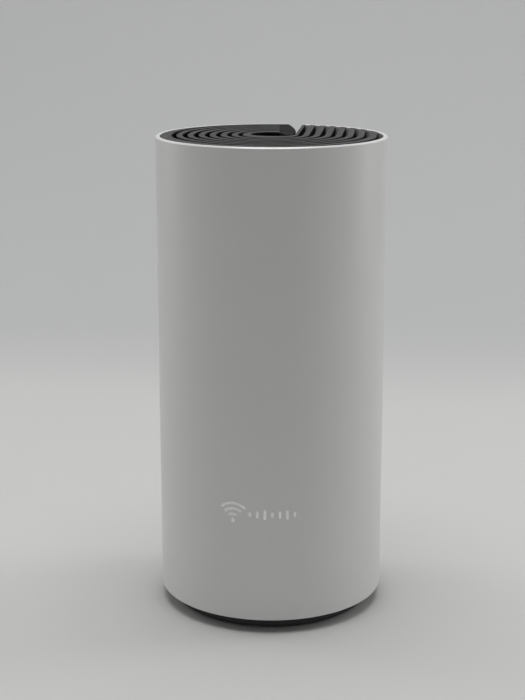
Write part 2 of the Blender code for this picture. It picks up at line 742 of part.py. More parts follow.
def make_button_board():
    """Small board above the base floor, with the status light and ribbon sockets."""
    board = add_object("button_board",
                       box("button_board", BUTTON_BOARD_X, BUTTON_BOARD_Y, BUTTON_BOARD_Z),
                       board_green("button_board_mask"))
    for number, centre in enumerate(BUTTON_BOARD_SCREWS, 1):
        cut(board, prism(f"button_board_hole_{number}", circle(centre, 1.5, 12), 8.0, 15.0))
    led = box("status_led", (-1.6, 1.6), (-33.6, -31.8), (9.7, BUTTON_BOARD_Z[0] - GAP))
    add_object("status_led", led, material("led_resin", (0.85, 0.86, 0.8), 0.25))
    pale = material("socket_plastic", (0.75, 0.72, 0.65), 0.5)
    top = BUTTON_BOARD_Z[1] + GAP
    add_object("ribbon_socket_button",
               box("ribbon_socket_button", (-6.5, 6.5), (-20.6, -17.0), (top, top + 2.4)), pale)
    front = BOARD_Y[0] - GAP
    add_object("ribbon_socket_main",
               box("ribbon_socket_main", (-6.5, 6.5), (front - 2.4, front), (21.0, 24.6)), pale)
    make_ribbon_cable(top + 1.2, front - 1.2)


def make_ribbon_cable(low_z, back_y):
    """Flat cable that leaves the button board level and turns up to the main board."""
    half_thick = 0.2
    bend = 5.2
    bend_centre = (back_y - bend, low_z + bend)
    start_y = -17.0 + GAP
    end_z = 21.0 - GAP

    def edge(offset):
        points = [(start_y, low_z + offset)]
        points += arc(bend_centre, bend - offset, -90.0, 0.0, 8)
        points.append((back_y - offset, end_z))
        return points

    outline = edge(-half_thick) + list(reversed(edge(half_thick)))
    add_object("ribbon_cable", prism("ribbon_cable", outline, -5.0, 5.0, "X"),
               material("ribbon_white", (0.8, 0.8, 0.78), 0.5))


# ---------------------------------------------------------------- reset button

def make_reset_button():
    """Recessed reset button, the switch above it and the switch's plunger."""
    location = (*RESET_XY, 0.0)
    button_profile = [
        (0.0, 1.6), (1.6, 1.6), (1.9, 1.9), (1.9, 3.6), (3.2, 3.6), (3.2, 4.6),
        (1.9, 4.6), (1.9, 6.4), (0.0, 6.4),
    ]
    add_object("reset_button", turned("reset_button", button_profile, 20),
               material("button_plastic", (0.1, 0.1, 0.1), 0.5), location)
    plunger_profile = [(0.0, 6.7), (1.0, 6.7), (1.0, 9.0), (0.0, 9.0)]
    add_object("reset_plunger", turned("reset_plunger", plunger_profile, 16),
               material("plunger_plastic", (0.06, 0.06, 0.06), 0.45), location)
    x, y = RESET_XY
    body = add_object("reset_switch_body",
                      box("reset_switch_body", (x - 3.0, x + 3.0), (y - 3.0, y + 3.0),
                          (7.6, BUTTON_BOARD_Z[0] - GAP)),
                      steel("switch_steel"))
    cut(body, prism("switch_bore", circle(RESET_XY, 1.35, 14), 7.0, 9.9))


# ---------------------------------------------------------------- antennas and leads

def make_antennas():
    for name, angle, width, low in ANTENNAS:
        mesh = tangent_plate(name, angle, ANTENNA_INNER, ANTENNA_INNER + ANTENNA_THICKNESS,
                             width, low, UPPER_RING[0] - GAP)
        add_object(name, mesh, board_green("antenna_mask"))


def smooth_route(points, per_span):
    """A Catmull-Rom curve through the points."""
    points = [Vector(point) for point in points]
    padded = [2 * points[0] - points[1]] + points + [2 * points[-1] - points[-2]]
    route = []
    for index in range(1, len(padded) - 2):
        before, start, end, after = padded[index - 1:index + 3]
        for step in range(per_span):
            t = step / per_span
            route.append(0.5 * (2 * start + (end - before) * t
                                + (2 * before - 5 * start + 4 * end - after) * t * t
                                + (3 * start - before - 3 * end + after) * t ** 3))
    route.append(points[-1])
    return route


def make_coax(name, points):
    """A thin lead as a bevelled curve with closed ends."""
    curve = bpy.data.curves.new(name, "CURVE")
    curve.dimensions = "3D"
    curve.bevel_depth = COAX_RADIUS * MM
    curve.bevel_resolution = 2
    curve.render_resolution_u = 0
    curve.use_fill_caps = True
    route = smooth_route(points, 3)
    spline = curve.splines.new("POLY")
    spline.points.add(len(route) - 1)
    for target, point in zip(spline.points, route):
        target.co = (*(point * MM), 1.0)
    curve.materials.append(material("coax_jacket", (0.05, 0.05, 0.05), 0.5))
    bpy.context.collection.objects.link(bpy.data.objects.new(name, curve))


def make_leads():
    number = 0
    for side in (-1.0, 1.0):
        for route in COAX_ROUTES:
            number += 1
            make_coax(f"coax_{number}", [(side * x, y, z) for x, y, z in route])


# ---------------------------------------------------------------- fasteners

def screw_mesh(name, head_radius, head_height, shank_radius, length):
    """A screw that points up, with its head below z = 0 and a cross recess in it."""
    profile = [
        (0.0, -head_height),
        (head_radius * 0.7, -head_height),
        (head_radius, -head_height * 0.55),
        (head_radius, 0.0),
        (shank_radius, 0.0),
        (shank_radius, length - 1.0),
        (0.0, length),
    ]
    blank = add_object("blank_" + name, turned("blank_" + name, profile, 10), steel("screw_steel"))
    half, arm = 0.25, head_radius * 0.62
    cross = [
        (half, half), (half, arm), (-half, arm), (-half, half), (-arm, half), (-arm, -half),
        (-half, -half), (-half, -arm), (half, -arm), (half, -half), (arm, -half), (arm, half),
    ]
    cut(blank, prism("recess_" + name, cross, -head_height - 1.0, -head_height * 0.45))
    graph = bpy.context.evaluated_depsgraph_get()
    mesh = bpy.data.meshes.new_from_object(blank.evaluated_get(graph))
    mesh.name = name
    bpy.data.objects.remove(blank, do_unlink=True)
    return mesh


def place_screws(prefix, mesh, places, turn=Matrix.Identity(4)):
    for number, place in enumerate(places, 1):
        made = add_object(f"{prefix}_{number}", mesh, steel("screw_steel"))
        made.matrix_world = Matrix.Translation(Vector(place) * MM) @ turn


def make_screws():
    upside_down = Matrix.Rotation(math.pi, 4, "X")
    head_at_back = Matrix.Rotation(math.pi / 2.0, 4, "X")
    base_places = [(*polar(BASE_SCREW_RADIUS, angle), 5.9) for angle in BASE_SCREW_ANGLES]
    place_screws("base_screw", screw_mesh("base_screw", 2.5, 1.7, 1.0, 15.0), base_places)
    vent_places = [(*polar(VENT_SCREW_RADIUS, angle), UPPER_RING[0] - GAP)
                   for angle in VENT_SCREW_ANGLES]
    place_screws("vent_screw", screw_mesh("vent_screw", 2.3, 1.5, 1.0, 11.0), vent_places)
    sink_places = [(x, BOARD_Y[1] + GAP, z) for x, z in HEAT_SINK_SCREWS]
    place_screws("heat_sink_screw", screw_mesh("heat_sink_screw", 2.4, 1.5, 1.0, 6.4),
                 sink_places, head_at_back)
    board_places = [(x, y, BUTTON_BOARD_Z[1] + GAP) for x, y in BUTTON_BOARD_SCREWS]
    place_screws("button_board_screw", screw_mesh("button_board_screw", 2.2, 1.4, 0.9, 5.0),
                 board_places, upside_down)


# ---------------------------------------------------------------- whole object

def main():
    clear_scene()
    make_outer_shell()
    make_top_vent()
    make_rear_spine()
    make_port_panel()
    make_base_cover()
    make_base_details()
    make_chassis()
    make_main_board()
    make_heat_sink()
    make_shielded_chip("cpu", (-13.0, 13.0), (86.0, 112.0), 12.0)
    make_shielded_chip("radio", (-15.0, 15.0), (122.0, 148.0), 9.0)
    make_lan_jack(1, -LAN_X)
    make_lan_jack(2, LAN_X)
    make_dc_jack()
    make_board_parts()
    make_button_board()
    make_reset_button()
    make_antennas()
    make_leads()
    make_screws()


main()
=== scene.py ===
"""Looks of the mesh wifi node: fine surfaces, procedural materials, light and camera.

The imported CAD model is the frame.  Sizes are in millimetres in the object's own frame
(front -Y, sockets +Y, up +Z) and become metres where a mesh is made.
"""
import math
import random

import bmesh
import bpy
from mathutils import Matrix, Vector


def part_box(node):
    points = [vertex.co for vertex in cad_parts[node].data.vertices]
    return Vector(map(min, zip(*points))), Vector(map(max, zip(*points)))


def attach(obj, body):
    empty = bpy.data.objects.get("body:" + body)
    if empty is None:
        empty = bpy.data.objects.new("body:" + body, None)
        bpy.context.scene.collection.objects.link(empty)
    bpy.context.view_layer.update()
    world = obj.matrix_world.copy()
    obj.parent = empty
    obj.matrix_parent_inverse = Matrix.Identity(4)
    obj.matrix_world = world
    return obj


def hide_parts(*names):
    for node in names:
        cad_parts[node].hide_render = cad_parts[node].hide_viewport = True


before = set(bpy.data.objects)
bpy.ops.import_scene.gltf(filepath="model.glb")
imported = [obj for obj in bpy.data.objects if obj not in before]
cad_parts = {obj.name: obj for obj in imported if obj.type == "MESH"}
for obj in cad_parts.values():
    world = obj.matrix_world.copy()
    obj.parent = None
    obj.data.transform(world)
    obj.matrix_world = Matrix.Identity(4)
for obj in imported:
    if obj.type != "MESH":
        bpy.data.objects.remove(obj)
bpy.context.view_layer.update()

MM = 0.001
GAP = 0.3                      # clearance that the CAD keeps between touching pieces
HOUSING = "housing"
BUTTON = "reset_button"
SEED = 7
WELD = 2e-6                    # metres; closer points become one
FOLD = math.radians(30.0)      # a sharper bend than this is an edge
TO_BACK = Matrix.Rotation(-math.pi / 2.0, 4, "X")      # turn +Z towards +Y
TO_FRONT = Matrix.Rotation(math.pi / 2.0, 4, "X")      # turn +Z towards -Y


def span(node):
    """A CAD node's lowest and highest corner, in millimetres."""
    low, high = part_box(node)
    return low / MM, high / MM


# Driving sizes, read from the frame where the frame holds them
SHELL_LOW, SHELL_HIGH = span("outer_shell")
VENT_LOW = span("top_vent")[0]
BASE_LOW, BASE_HIGH = span("base_cover")
PAD_HIGH = span("foot_ring")[1]
BOARD_LOW, BOARD_HIGH = span("main_board")
BUTTON_LOW, BUTTON_HIGH = span("button_board")

BODY_RADIUS = SHELL_HIGH.x
TOP_Z = SHELL_HIGH.z
SHELL_BOTTOM = SHELL_LOW.z
WALL = 1.8
SHELL_INNER = BODY_RADIUS - WALL
RIM_CHAMFER = 0.55
VENT_RADIUS = -VENT_LOW.x
FINE_STEPS = 240

# Vent cap
VENT_BOTTOM = 181.0
VENT_FRAME_TOP = 184.6
SLOT_FLOOR = 184.2
SLOT_COUNT = 7
SLOT_FIRST_RADIUS = 11.8
SLOT_PITCH = 4.3
SLOT_WIDTH = 2.0
SWIRL_X = -0.5
SWIRL_BACK_Y = 3.75
EYE_CENTRE = (-0.9, 2.8)
EYE_RADIUS = 7.6
NOTCH_RIGHT_X = 9.1
NOTCH_TIP = (8.5, 13.5)
TONGUE_FRONT = (2.35, 9.7)     # the line where the fins end and the tongue starts
TONGUE_BACK = (-0.7, 43.0)
TONGUE_END_Y = -1.6            # the tongue's rounded front end
FIN_ROUND = 0.28
VENT_SCREW_RADIUS = 37.2
VENT_SCREW_ANGLES = (-12.0, 115.0, 192.0)

# Rear groove and socket bay
GROOVE_LEFT_X = 2.7
GROOVE_RIGHT_X = 9.2
BAY_HALF_WIDTH = 25.0
BAY_Z = (17.0, 64.0)
BAY_CORNER = 5.0

# Foot
FOOT_RADIUS = 40.35
BASE_FLOOR = 3.2
BASE_TOP = BASE_HIGH.z - 1.8   # the screw posts stand this much above the wall
BASE_SCREW_RADIUS = 35.0
BASE_SCREW_ANGLES = (45.0, 135.0, 225.0, 315.0)
PAD_LOW_RADIUS = 31.0
RESET_XY = (4.0, -25.0)
RESET_HOLE_RADIUS = 2.3
BUTTON_BOARD_SCREWS = ((-12.0, -20.0), (16.0, -29.0))

# Inside
LAN_Z = 46.5
UPPER_RING_LOW = 168.7
HEAT_SINK_SCREWS = ((-21.0, 80.0), (21.0, 80.0), (-21.0, 155.0), (21.0, 155.0))
ANTENNA_INNER = 35.7
ANTENNA_THICKNESS = 0.8
ANTENNAS = (                   # name, angle round the axis, width, lowest point
    ("antenna_24_left", -150.0, 12.0, 126.0),
    ("antenna_5_left", -118.0, 9.0, 140.0),
    ("antenna_5_right", -62.0, 9.0, 140.0),
    ("antenna_24_right", -30.0, 12.0, 126.0),
)
COAX_RADIUS = 0.565
COAX_ROUTES = (                # on the right, from antenna to board
    ((30.3, -17.6, 128.0), (30.0, -17.0, 124.5), (31.0, -11.0, 119.5),
     (31.2, -3.0, 117.0), (30.6, 5.0, 116.6), (29.8, 12.0, 117.0)),
    ((16.2, -30.6, 142.0), (16.8, -30.0, 137.0), (22.0, -26.5, 127.0),
     (28.5, -19.0, 113.0), (31.4, -8.0, 106.0), (30.8, 3.0, 104.0), (29.8, 12.0, 104.0)),
)

# Camera, fitted to the outline of the tube
CAMERA_SIDE = -3.54
CAMERA_BACK = -585.6
CAMERA_HEIGHT = 250.0
CAMERA_PITCH = 14.06
OBJECT_TURN = 5.6              # how far the object is turned from the camera's axis
LENS = 76.73
SENSOR = 36.0

# Printed mark, as the way round the front and the height
MARK_DOT = (-10.8, 46.4)
MARK_ARCS = (2.6, 4.8, 7.0)
MARK_BARS = 7
MARK_BAR_START = -4.0
MARK_BAR_PITCH = 2.9
MARK_BAR_Z = 49.3
MARK_STROKE = 0.55             # half a stroke's width

# Tones that more than one place uses
SHELL_TONE = (0.795, 0.80, 0.785)
VENT_TONE = (0.018, 0.018, 0.0195)
FLOOR_TONE = (0.70, 0.70, 0.69)
# painted shade: the darker tone the paper is given where it rises into the wall
RISE_SHADE_TONE = (0.60, 0.605, 0.605)
RISE_Y = (0.27, 0.44)          # metres; painted shade turns the floor's tone into the darker rise tone here


# ---- outlines

def arc(centre, radius, start, end, steps):
    """Points on an arc between two angles in degrees, both ends included."""
    points = []
    for step in range(steps + 1):
        angle = math.radians(start + (end - start) * step / steps)
        points.append((centre[0] + radius * math.cos(angle), centre[1] + radius * math.sin(angle)))
    return points


def circle(centre, radius, steps):
    return arc(centre, radius, 0.0, 360.0, steps)[:-1]


def polar(radius, angle):
    return (radius * math.cos(math.radians(angle)), radius * math.sin(math.radians(angle)))


def rectangle(low_x, high_x, low_y, high_y):
    return [(low_x, low_y), (high_x, low_y), (high_x, high_y), (low_x, high_y)]


def rounded_rectangle(low_x, high_x, low_y, high_y, radius):
    corners = rectangle(low_x + radius, high_x - radius, low_y + radius, high_y - radius)
    outline = []
    for turn, centre in enumerate(corners[2:] + corners[:2]):
        outline += arc(centre, radius, 90.0 * turn, 90.0 * turn + 90.0, 8)
    return outline


def counterclockwise(outline):
    doubled_area = 0.0
    for (x, y), (next_x, next_y) in zip(outline, outline[1:] + outline[:1]):
        doubled_area += x * next_y - next_x * y
    return outline if doubled_area > 0.0 else outline[::-1]


# ---- meshes

def lift(point, height, axis):
    across, along = point
    if axis == "Z":
        return (across, along, height)
    if axis == "Y":
        return (across, height, along)
    return (height, across, along)


def add_prism(work, outline, low, high, axis="Z"):
    """Sweep a closed outline between two heights; the outline is XY, XZ or YZ."""
    outline = counterclockwise(outline)
    if axis == "Y":
        outline = outline[::-1]
    bottom = [work.verts.new(lift(point, low, axis)) for point in outline]
    top = [work.verts.new(lift(point, high, axis)) for point in outline]
    work.faces.new(reversed(bottom))
    work.faces.new(top)
    for index, corner in enumerate(bottom):
        following = (index + 1) % len(bottom)
        work.faces.new((corner, bottom[following], top[following], top[index]))


def mesh_of(work):
    bmesh.ops.scale(work, vec=(MM, MM, MM), verts=work.verts)
    mesh = bpy.data.meshes.new("shape")
    work.to_mesh(mesh)
    work.free()
    return mesh


def prism(outline, low, high, axis="Z"):
    work = bmesh.new()
    add_prism(work, outline, low, high, axis)
    return mesh_of(work)


def add_turned(work, profile, steps):
    """Turn a closed profile of (radius, z) points about Z; it may touch the axis."""
    rings = []
    for radius, height in counterclockwise(profile):
        if radius < 1e-6:
            rings.append([work.verts.new((0.0, 0.0, height))] * steps)
            continue
        ring = []
        for step in range(steps):
            x, y = polar(radius, 360.0 * step / steps)
            ring.append(work.verts.new((x, y, height)))
        rings.append(ring)
    for first, second in zip(rings, rings[1:] + rings[:1]):
        for step in range(steps):
            after = (step + 1) % steps
            corners = []
            for corner in (first[step], first[after], second[after], second[step]):
                if corner not in corners:
                    corners.append(corner)
            if len(corners) > 2:
                work.faces.new(corners)


def turned(profile, steps=FINE_STEPS):
    work = bmesh.new()
    add_turned(work, profile, steps)
    return mesh_of(work)


def add_rings(work, rings):
    """Join rings of equal count into one skin and close both ends."""
    for first, second in zip(rings, rings[1:]):
        for step in range(len(first)):
            after = (step + 1) % len(first)
            work.faces.new((first[step], first[after], second[after], second[step]))
    work.faces.new(reversed(rings[0]))
    work.faces.new(rings[-1])


def add_tube(work, points, radius, sides=10):
    """A round tube with closed ends along a list of points."""
    points = [Vector(point) for point in points]
    rings = []
    side = None
    for index, point in enumerate(points):
        ahead = points[min(index + 1, len(points) - 1)] - points[max(index - 1, 0)]
        ahead.normalize()
        if side is None:
            side = ahead.orthogonal().normalized()
        side = (side - ahead * side.dot(ahead)).normalized()
        up = ahead.cross(side)
        ring = []
        for step in range(sides):
            x, y = polar(radius, 360.0 * step / sides)
            ring.append(work.verts.new(point + side * x + up * y))
        rings.append(ring)
    add_rings(work, rings)


def new_object(name, data):
    item = bpy.data.objects.new(name, data)
    bpy.context.collection.objects.link(item)
    return item


def combined(mesh, steps):
    """Apply a list of (operation, mesh) Booleans in turn and return the result."""
    item = new_object("work", mesh)
    tools = []
    for operation, tool_mesh in steps:
        tool = new_object("tool", tool_mesh)
        modifier = item.modifiers.new("boolean", "BOOLEAN")
        modifier.operation = operation
        modifier.solver = "EXACT"
        modifier.object = tool
        tools.append(tool)
    graph = bpy.context.evaluated_depsgraph_get()
    result = bpy.data.meshes.new_from_object(item.evaluated_get(graph))
    for used in [item, *tools]:
        bpy.data.objects.remove(used, do_unlink=True)
    return result


def cut(mesh, *tools):
    return combined(mesh, [("DIFFERENCE", tool) for tool in tools])


def round_level_edges(mesh, level, width):
    """Round the folded edges that lie at one height."""
    work = bmesh.new()
    work.from_mesh(mesh)
    bmesh.ops.remove_doubles(work, verts=work.verts, dist=WELD)
    bmesh.ops.dissolve_degenerate(work, edges=work.edges, dist=WELD / 2.0)
    edges = [edge for edge in work.edges
             if len(edge.link_faces) == 2
             and all(abs(vertex.co.z / MM - level) < 0.01 for vertex in edge.verts)
             and edge.calc_face_angle(0.0) > FOLD]
    bmesh.ops.bevel(work, geom=edges, offset=width * MM, segments=3, profile=0.5,
                    affect="EDGES", clamp_overlap=True)
    work.to_mesh(mesh)
    work.free()
    return mesh


def add_piece(name, mesh, finish, bevel=0.0, segments=2, body=HOUSING, replaces=()):
    """Put a finished piece on its body, with rounded edges and even shading."""
    mesh.name = name
    mesh.materials.clear()
    mesh.materials.append(finish)
    mesh.shade_smooth()
    piece = new_object(name, mesh)
    if bevel:
        modifier = piece.modifiers.new("soft_edges", "BEVEL")
        modifier.width = bevel * MM
        modifier.segments = segments
        modifier.limit_method = "ANGLE"
        modifier.angle_limit = math.radians(35.0)
        modifier.miter_outer = "MITER_ARC"
    normals = piece.modifiers.new("even_shading", "WEIGHTED_NORMAL")
    normals.keep_sharp = True
    normals.weight = 80
    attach(piece, body)
    if replaces:
        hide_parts(*replaces)
    return piece


def merge_flats(mesh):
    """Merge a mesh's coplanar faces, so that it can be bevelled and shades evenly."""
    work = bmesh.new()
    work.from_mesh(mesh)
    bmesh.ops.remove_doubles(work, verts=work.verts, dist=WELD)
    bmesh.ops.dissolve_limit(work, angle_limit=math.radians(1.0),
                             verts=work.verts, edges=work.edges)
    work.to_mesh(mesh)
    work.free()
    return mesh


def flat_copy(node):
    return merge_flats(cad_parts[node].data.copy())


def replaced(node, mesh, finish, bevel=0.0, segments=2, body=HOUSING):
    """A finer piece that stands for one CAD node."""
    return add_piece(node + "_fine", mesh, finish, bevel, segments, body, [node])


def shifted(mesh, place, turn=Matrix.Identity(4)):
    """Turn a mesh about the origin and then move it, in millimetres."""
    mesh.transform(Matrix.Translation(Vector(place) * MM) @ turn)
    return mesh


def softened(node, finish, bevel, segments=2):
    """The CAD node's own shape with its edges rounded."""
    replaced(node, flat_copy(node), finish, bevel, segments)


def added(name, work, finish, bevel=0.0):
    """A piece that rides along and stands for no CAD node."""
    return add_piece(name, mesh_of(work), finish, bevel)


# ---- materials

class Nodes:
    """A material's node tree with short calls for the nodes that repeat here."""

    def __init__(self, name):
        self.material = bpy.data.materials.new(name)
        self.material.use_nodes = True
        self.tree = self.material.node_tree
        self.shader = self.tree.nodes["Principled BSDF"]
        self.place = self.add("ShaderNodeTexCoord").outputs["Object"]

    def feed(self, node, values):
        """Give sockets, by name or number, a value, a colour or a link."""
        for key, value in values.items():
            socket = node.inputs[key]
            if isinstance(value, bpy.types.NodeSocket):
                self.tree.links.new(value, socket)
            elif socket.type == "RGBA":
                socket.default_value = (*value, 1.0)
            else:
                socket.default_value = value

    def add(self, kind, inputs=None, **settings):
        node = self.tree.nodes.new(kind)
        for key, value in settings.items():
            setattr(node, key, value)
        self.feed(node, inputs or {})
        return node

    def stretched(self, scale):
        inputs = {"Vector": self.place, "Scale": scale}
        return self.add("ShaderNodeMapping", inputs).outputs["Vector"]

    def cells(self, scale, **settings):
        """Distance to the nearest of many scattered points."""
        inputs = {"Vector": self.place, "Scale": scale}
        return self.add("ShaderNodeTexVoronoi", inputs, **settings).outputs["Distance"]

    def noise(self, scale, detail=3.0, place=None):
        """Noise whose features are about 1000 / scale millimetres across."""
        inputs = {"Vector": place or self.place, "Scale": scale, "Detail": detail}
        return self.add("ShaderNodeTexNoise", inputs).outputs["Fac"]

    def spread(self, source, low, high, from_low=0.3, from_high=0.7):
        """Map a value's middle range onto low to high."""
        inputs = {"Value": source, "From Min": from_low, "From Max": from_high,
                  "To Min": low, "To Max": high}
        return self.add("ShaderNodeMapRange", inputs).outputs["Result"]

    def mixed(self, factor, first, second):
        """A colour between two colours."""
        inputs = {"Factor": factor, 6: first, 7: second}
        return self.add("ShaderNodeMix", inputs, data_type="RGBA").outputs[2]

    def axes(self):
        """The point's own x, y and z."""
        return self.add("ShaderNodeSeparateXYZ", {"Vector": self.place}).outputs[:]

    def math(self, operation, *values):
        inputs = dict(enumerate(values))
        return self.add("ShaderNodeMath", inputs, operation=operation).outputs[0]

    def step(self, source, edge_mm, soft_mm=0.1):
        """0 below a place along an axis and 1 above it."""
        return self.spread(source, 0.0, 1.0, (edge_mm - soft_mm) * MM, (edge_mm + soft_mm) * MM)

    def bump(self, source, strength, distance_mm, normal=None):
        inputs = {"Height": source, "Strength": strength, "Distance": distance_mm * MM}
        if normal:
            inputs["Normal"] = normal
        return self.add("ShaderNodeBump", inputs).outputs["Normal"]

    def set(self, **values):
        """Feed the surface shader; an underscore stands for a space."""
        self.feed(self.shader, {key.replace("_", " "): value for key, value in values.items()})


def shade(colour, factor):
    return tuple(min(1.0, channel * factor) for channel in colour)


def moulded(name, colour, roughness, grain=1500.0, depth=0.012, variation=0.05):
    """Injection-moulded plastic: fine spark texture, slow tone drift, uneven gloss."""
    nodes = Nodes(name)
    drift = nodes.spread(nodes.noise(22.0, 4.0), 0.0, 1.0)
    speck = nodes.spread(nodes.noise(grain, 5.0), 0.0, 1.0)
    tone = nodes.mixed(drift, shade(colour, 1.0 - variation), shade(colour, 1.0 + variation))
    tone = nodes.mixed(nodes.spread(speck, 0.0, 0.35, 0.0, 1.0), tone, shade(colour, 0.86))
    gloss = nodes.spread(nodes.noise(140.0, 5.0), roughness - 0.05, roughness + 0.06)
    fine = nodes.bump(speck, 0.5, depth)
    broad = nodes.bump(nodes.noise(38.0, 2.0), 0.12, 0.05, fine)
    nodes.set(Base_Color=tone, Roughness=gloss, Normal=broad, Specular_IOR_Level=0.5)
    return nodes.material


def shell_white():
    """White satin shell: faint orange peel, fine grain, odd handling marks, and a painted
    highlight on the glossier rim.
    """
    nodes = Nodes("shell_white_satin")
    drift = nodes.spread(nodes.noise(14.0, 3.0), 0.0, 1.0)
    tone = nodes.mixed(drift, shade(SHELL_TONE, 0.985), shade(SHELL_TONE, 1.01))
    dust = nodes.spread(nodes.cells(95.0), 0.22, 0.0, 0.0, 0.035)
    tone = nodes.mixed(dust, tone, (0.45, 0.44, 0.42))
    # painted highlight: the rim chamfer's colour is lifted to near white; the same mask also makes
    # the rim glossier
    rim = nodes.step(nodes.axes()[2], TOP_Z - RIM_CHAMFER, 0.05)
    tone = nodes.mixed(rim, tone, (0.95, 0.95, 0.94))
    smudge = nodes.noise(30.0, 6.0, nodes.stretched((1.0, 1.0, 0.4)))
    gloss = nodes.spread(smudge, 0.32, 0.42)
    gloss = nodes.math("MULTIPLY_ADD", rim, -0.16, gloss)
    grain = nodes.bump(nodes.noise(2600.0, 3.0), 0.35, 0.006)
    peel = nodes.bump(nodes.noise(420.0, 2.0), 0.10, 0.012, grain)
    nodes.set(Base_Color=tone, Roughness=gloss, Normal=peel,
              Specular_IOR_Level=nodes.spread(rim, 0.45, 1.0, 0.0, 1.0),
              Subsurface_Weight=0.04, Subsurface_Scale=0.002)
    return nodes.material


def vent_satin():
    """The vent's plastic: satin on top, matt on the tongue and down in the slots, with painted
    shade darkening the slot walls.
    """
    nodes = Nodes("vent_dark_satin")
    x, y, z = nodes.axes()
    lean = (TONGUE_BACK[0] - TONGUE_FRONT[0]) / (TONGUE_BACK[1] - TONGUE_FRONT[1])
    across = nodes.math("MULTIPLY_ADD", y, -lean, x)
    past_fins = nodes.step(across, TONGUE_FRONT[0] - lean * TONGUE_FRONT[1])
    before_notch = nodes.math("SUBTRACT", 1.0, nodes.step(x, NOTCH_RIGHT_X - 0.2))
    behind_end = nodes.step(y, TONGUE_END_Y)
    tongue = nodes.math("MULTIPLY", nodes.math("MULTIPLY", past_fins, before_notch), behind_end)
    slots = nodes.math("SUBTRACT", 1.0, nodes.step(z, TOP_Z - FIN_ROUND - 0.12, 0.2))
    matt = nodes.math("MAXIMUM", slots, tongue)
    speck = nodes.spread(nodes.noise(1800.0, 5.0), 0.0, 1.0)
    drift = nodes.spread(nodes.noise(22.0, 4.0), 0.0, 1.0)
    tone = nodes.mixed(drift, shade(VENT_TONE, 0.95), shade(VENT_TONE, 1.05))
    # painted shade: the colour darkens below the fin tops, down the slot walls
    tone = nodes.mixed(slots, tone, shade(VENT_TONE, 0.55))
    gloss = nodes.spread(nodes.noise(140.0, 5.0), 0.37, 0.48)
    gloss = nodes.math("MULTIPLY_ADD", matt, 0.38, gloss)
    nodes.set(Base_Color=tone, Roughness=gloss, Normal=nodes.bump(speck, 0.5, 0.012),
              Specular_IOR_Level=nodes.spread(matt, 0.5, 0.12, 0.0, 1.0))
    return nodes.material


def brushed(name, colour, roughness, stretch=(1.0, 1.0, 0.03), scale=1800.0):
    """Metal with a drawn or brushed grain along one axis and slight tarnish."""
    nodes = Nodes(name)
    lines = nodes.noise(scale, 4.0, nodes.stretched(stretch))
    cloud = nodes.spread(nodes.noise(60.0, 4.0), 0.0, 1.0)
    tone = nodes.mixed(cloud, shade(colour, 0.88), shade(colour, 1.05))
    gloss = nodes.spread(lines, roughness - 0.08, roughness + 0.1)
    nodes.set(Base_Color=tone, Metallic=1.0, Roughness=gloss,
              Normal=nodes.bump(lines, 0.25, 0.01))
    return nodes.material


def rubber_black():
    nodes = Nodes("foot_rubber_matt")
    grain = nodes.noise(900.0, 6.0)
    bloom = nodes.spread(nodes.noise(45.0, 5.0), 0.0, 0.6)
    tone = nodes.mixed(bloom, (0.018, 0.018, 0.019), (0.038, 0.037, 0.036))
    nodes.set(Base_Color=tone, Roughness=nodes.spread(grain, 0.78, 0.92),
              Normal=nodes.bump(grain, 0.6, 0.04), Specular_IOR_Level=0.3)
    return nodes.material


def circuit_green(name, copper=True):
    """Solder mask over copper: runs of track show as paler lines, vias as bright dots."""
    nodes = Nodes(name)
    mask = (0.012, 0.10, 0.045)
    run = (0.03, 0.19, 0.085)
    rings = nodes.math("PINGPONG", nodes.cells(210.0, distance="CHEBYCHEV"), 0.09)
    track = nodes.spread(rings, 0.0, 1.0, 0.05, 0.06)
    tone = nodes.mixed(track, mask, run)
    if copper:
        via = nodes.spread(nodes.cells(330.0), 1.0, 0.0, 0.10, 0.12)
        tone = nodes.mixed(via, tone, (0.62, 0.55, 0.36))
        nodes.set(Metallic=nodes.spread(via, 0.0, 0.8, 0.0, 1.0))
    nodes.set(Base_Color=tone, Roughness=nodes.spread(nodes.noise(200.0, 4.0), 0.30, 0.42),
              Normal=nodes.bump(track, 0.4, 0.03))
    return nodes.material


def clear_resin(name, colour, roughness, transmission):
    nodes = Nodes(name)
    haze = nodes.noise(260.0, 5.0)
    tone = nodes.mixed(nodes.spread(haze, 0.0, 1.0), shade(colour, 0.92), shade(colour, 1.05))
    nodes.set(Base_Color=tone, Roughness=nodes.spread(haze, roughness, roughness + 0.08),
              Transmission_Weight=transmission, IOR=1.49, Normal=nodes.bump(haze, 0.1, 0.01))
    return nodes.material


def paper_label():
    """Coated sticker stock with a fine fibre and slight yellowing."""
    nodes = Nodes("label_stock")
    fibre = nodes.noise(700.0, 8.0)
    aged = nodes.spread(nodes.noise(35.0, 4.0), 0.0, 1.0)
    tone = nodes.mixed(aged, (0.74, 0.74, 0.73), (0.70, 0.69, 0.65))
    nodes.set(Base_Color=tone, Roughness=nodes.spread(fibre, 0.42, 0.58),
              Normal=nodes.bump(fibre, 0.25, 0.01))
    return nodes.material


def floor_paper():
    """Pale paper, faintly uneven, with painted shade that greys it where it rises."""
    nodes = Nodes("studio_paper")
    cloud = nodes.spread(nodes.noise(3.0, 4.0), 0.0, 1.0)
    tone = nodes.mixed(cloud, FLOOR_TONE, shade(FLOOR_TONE, 1.02))
    # painted shade: the paper darkens smoothly where the sweep rises into the wall
    rise = nodes.spread(nodes.axes()[1], 0.0, 1.0, *RISE_Y)
    rise.node.interpolation_type = "SMOOTHSTEP"
    tone = nodes.mixed(rise, tone, RISE_SHADE_TONE)
    nodes.set(Base_Color=tone, Roughness=0.85, Specular_IOR_Level=0.2)
    return nodes.material


# ---- housing

def notch_left_x(y):
    """The notch's slightly bowed left edge, from its tip to the rim."""
    run = y - NOTCH_TIP[1]
    return NOTCH_TIP[0] - 0.1 * run - 0.0027 * run * run


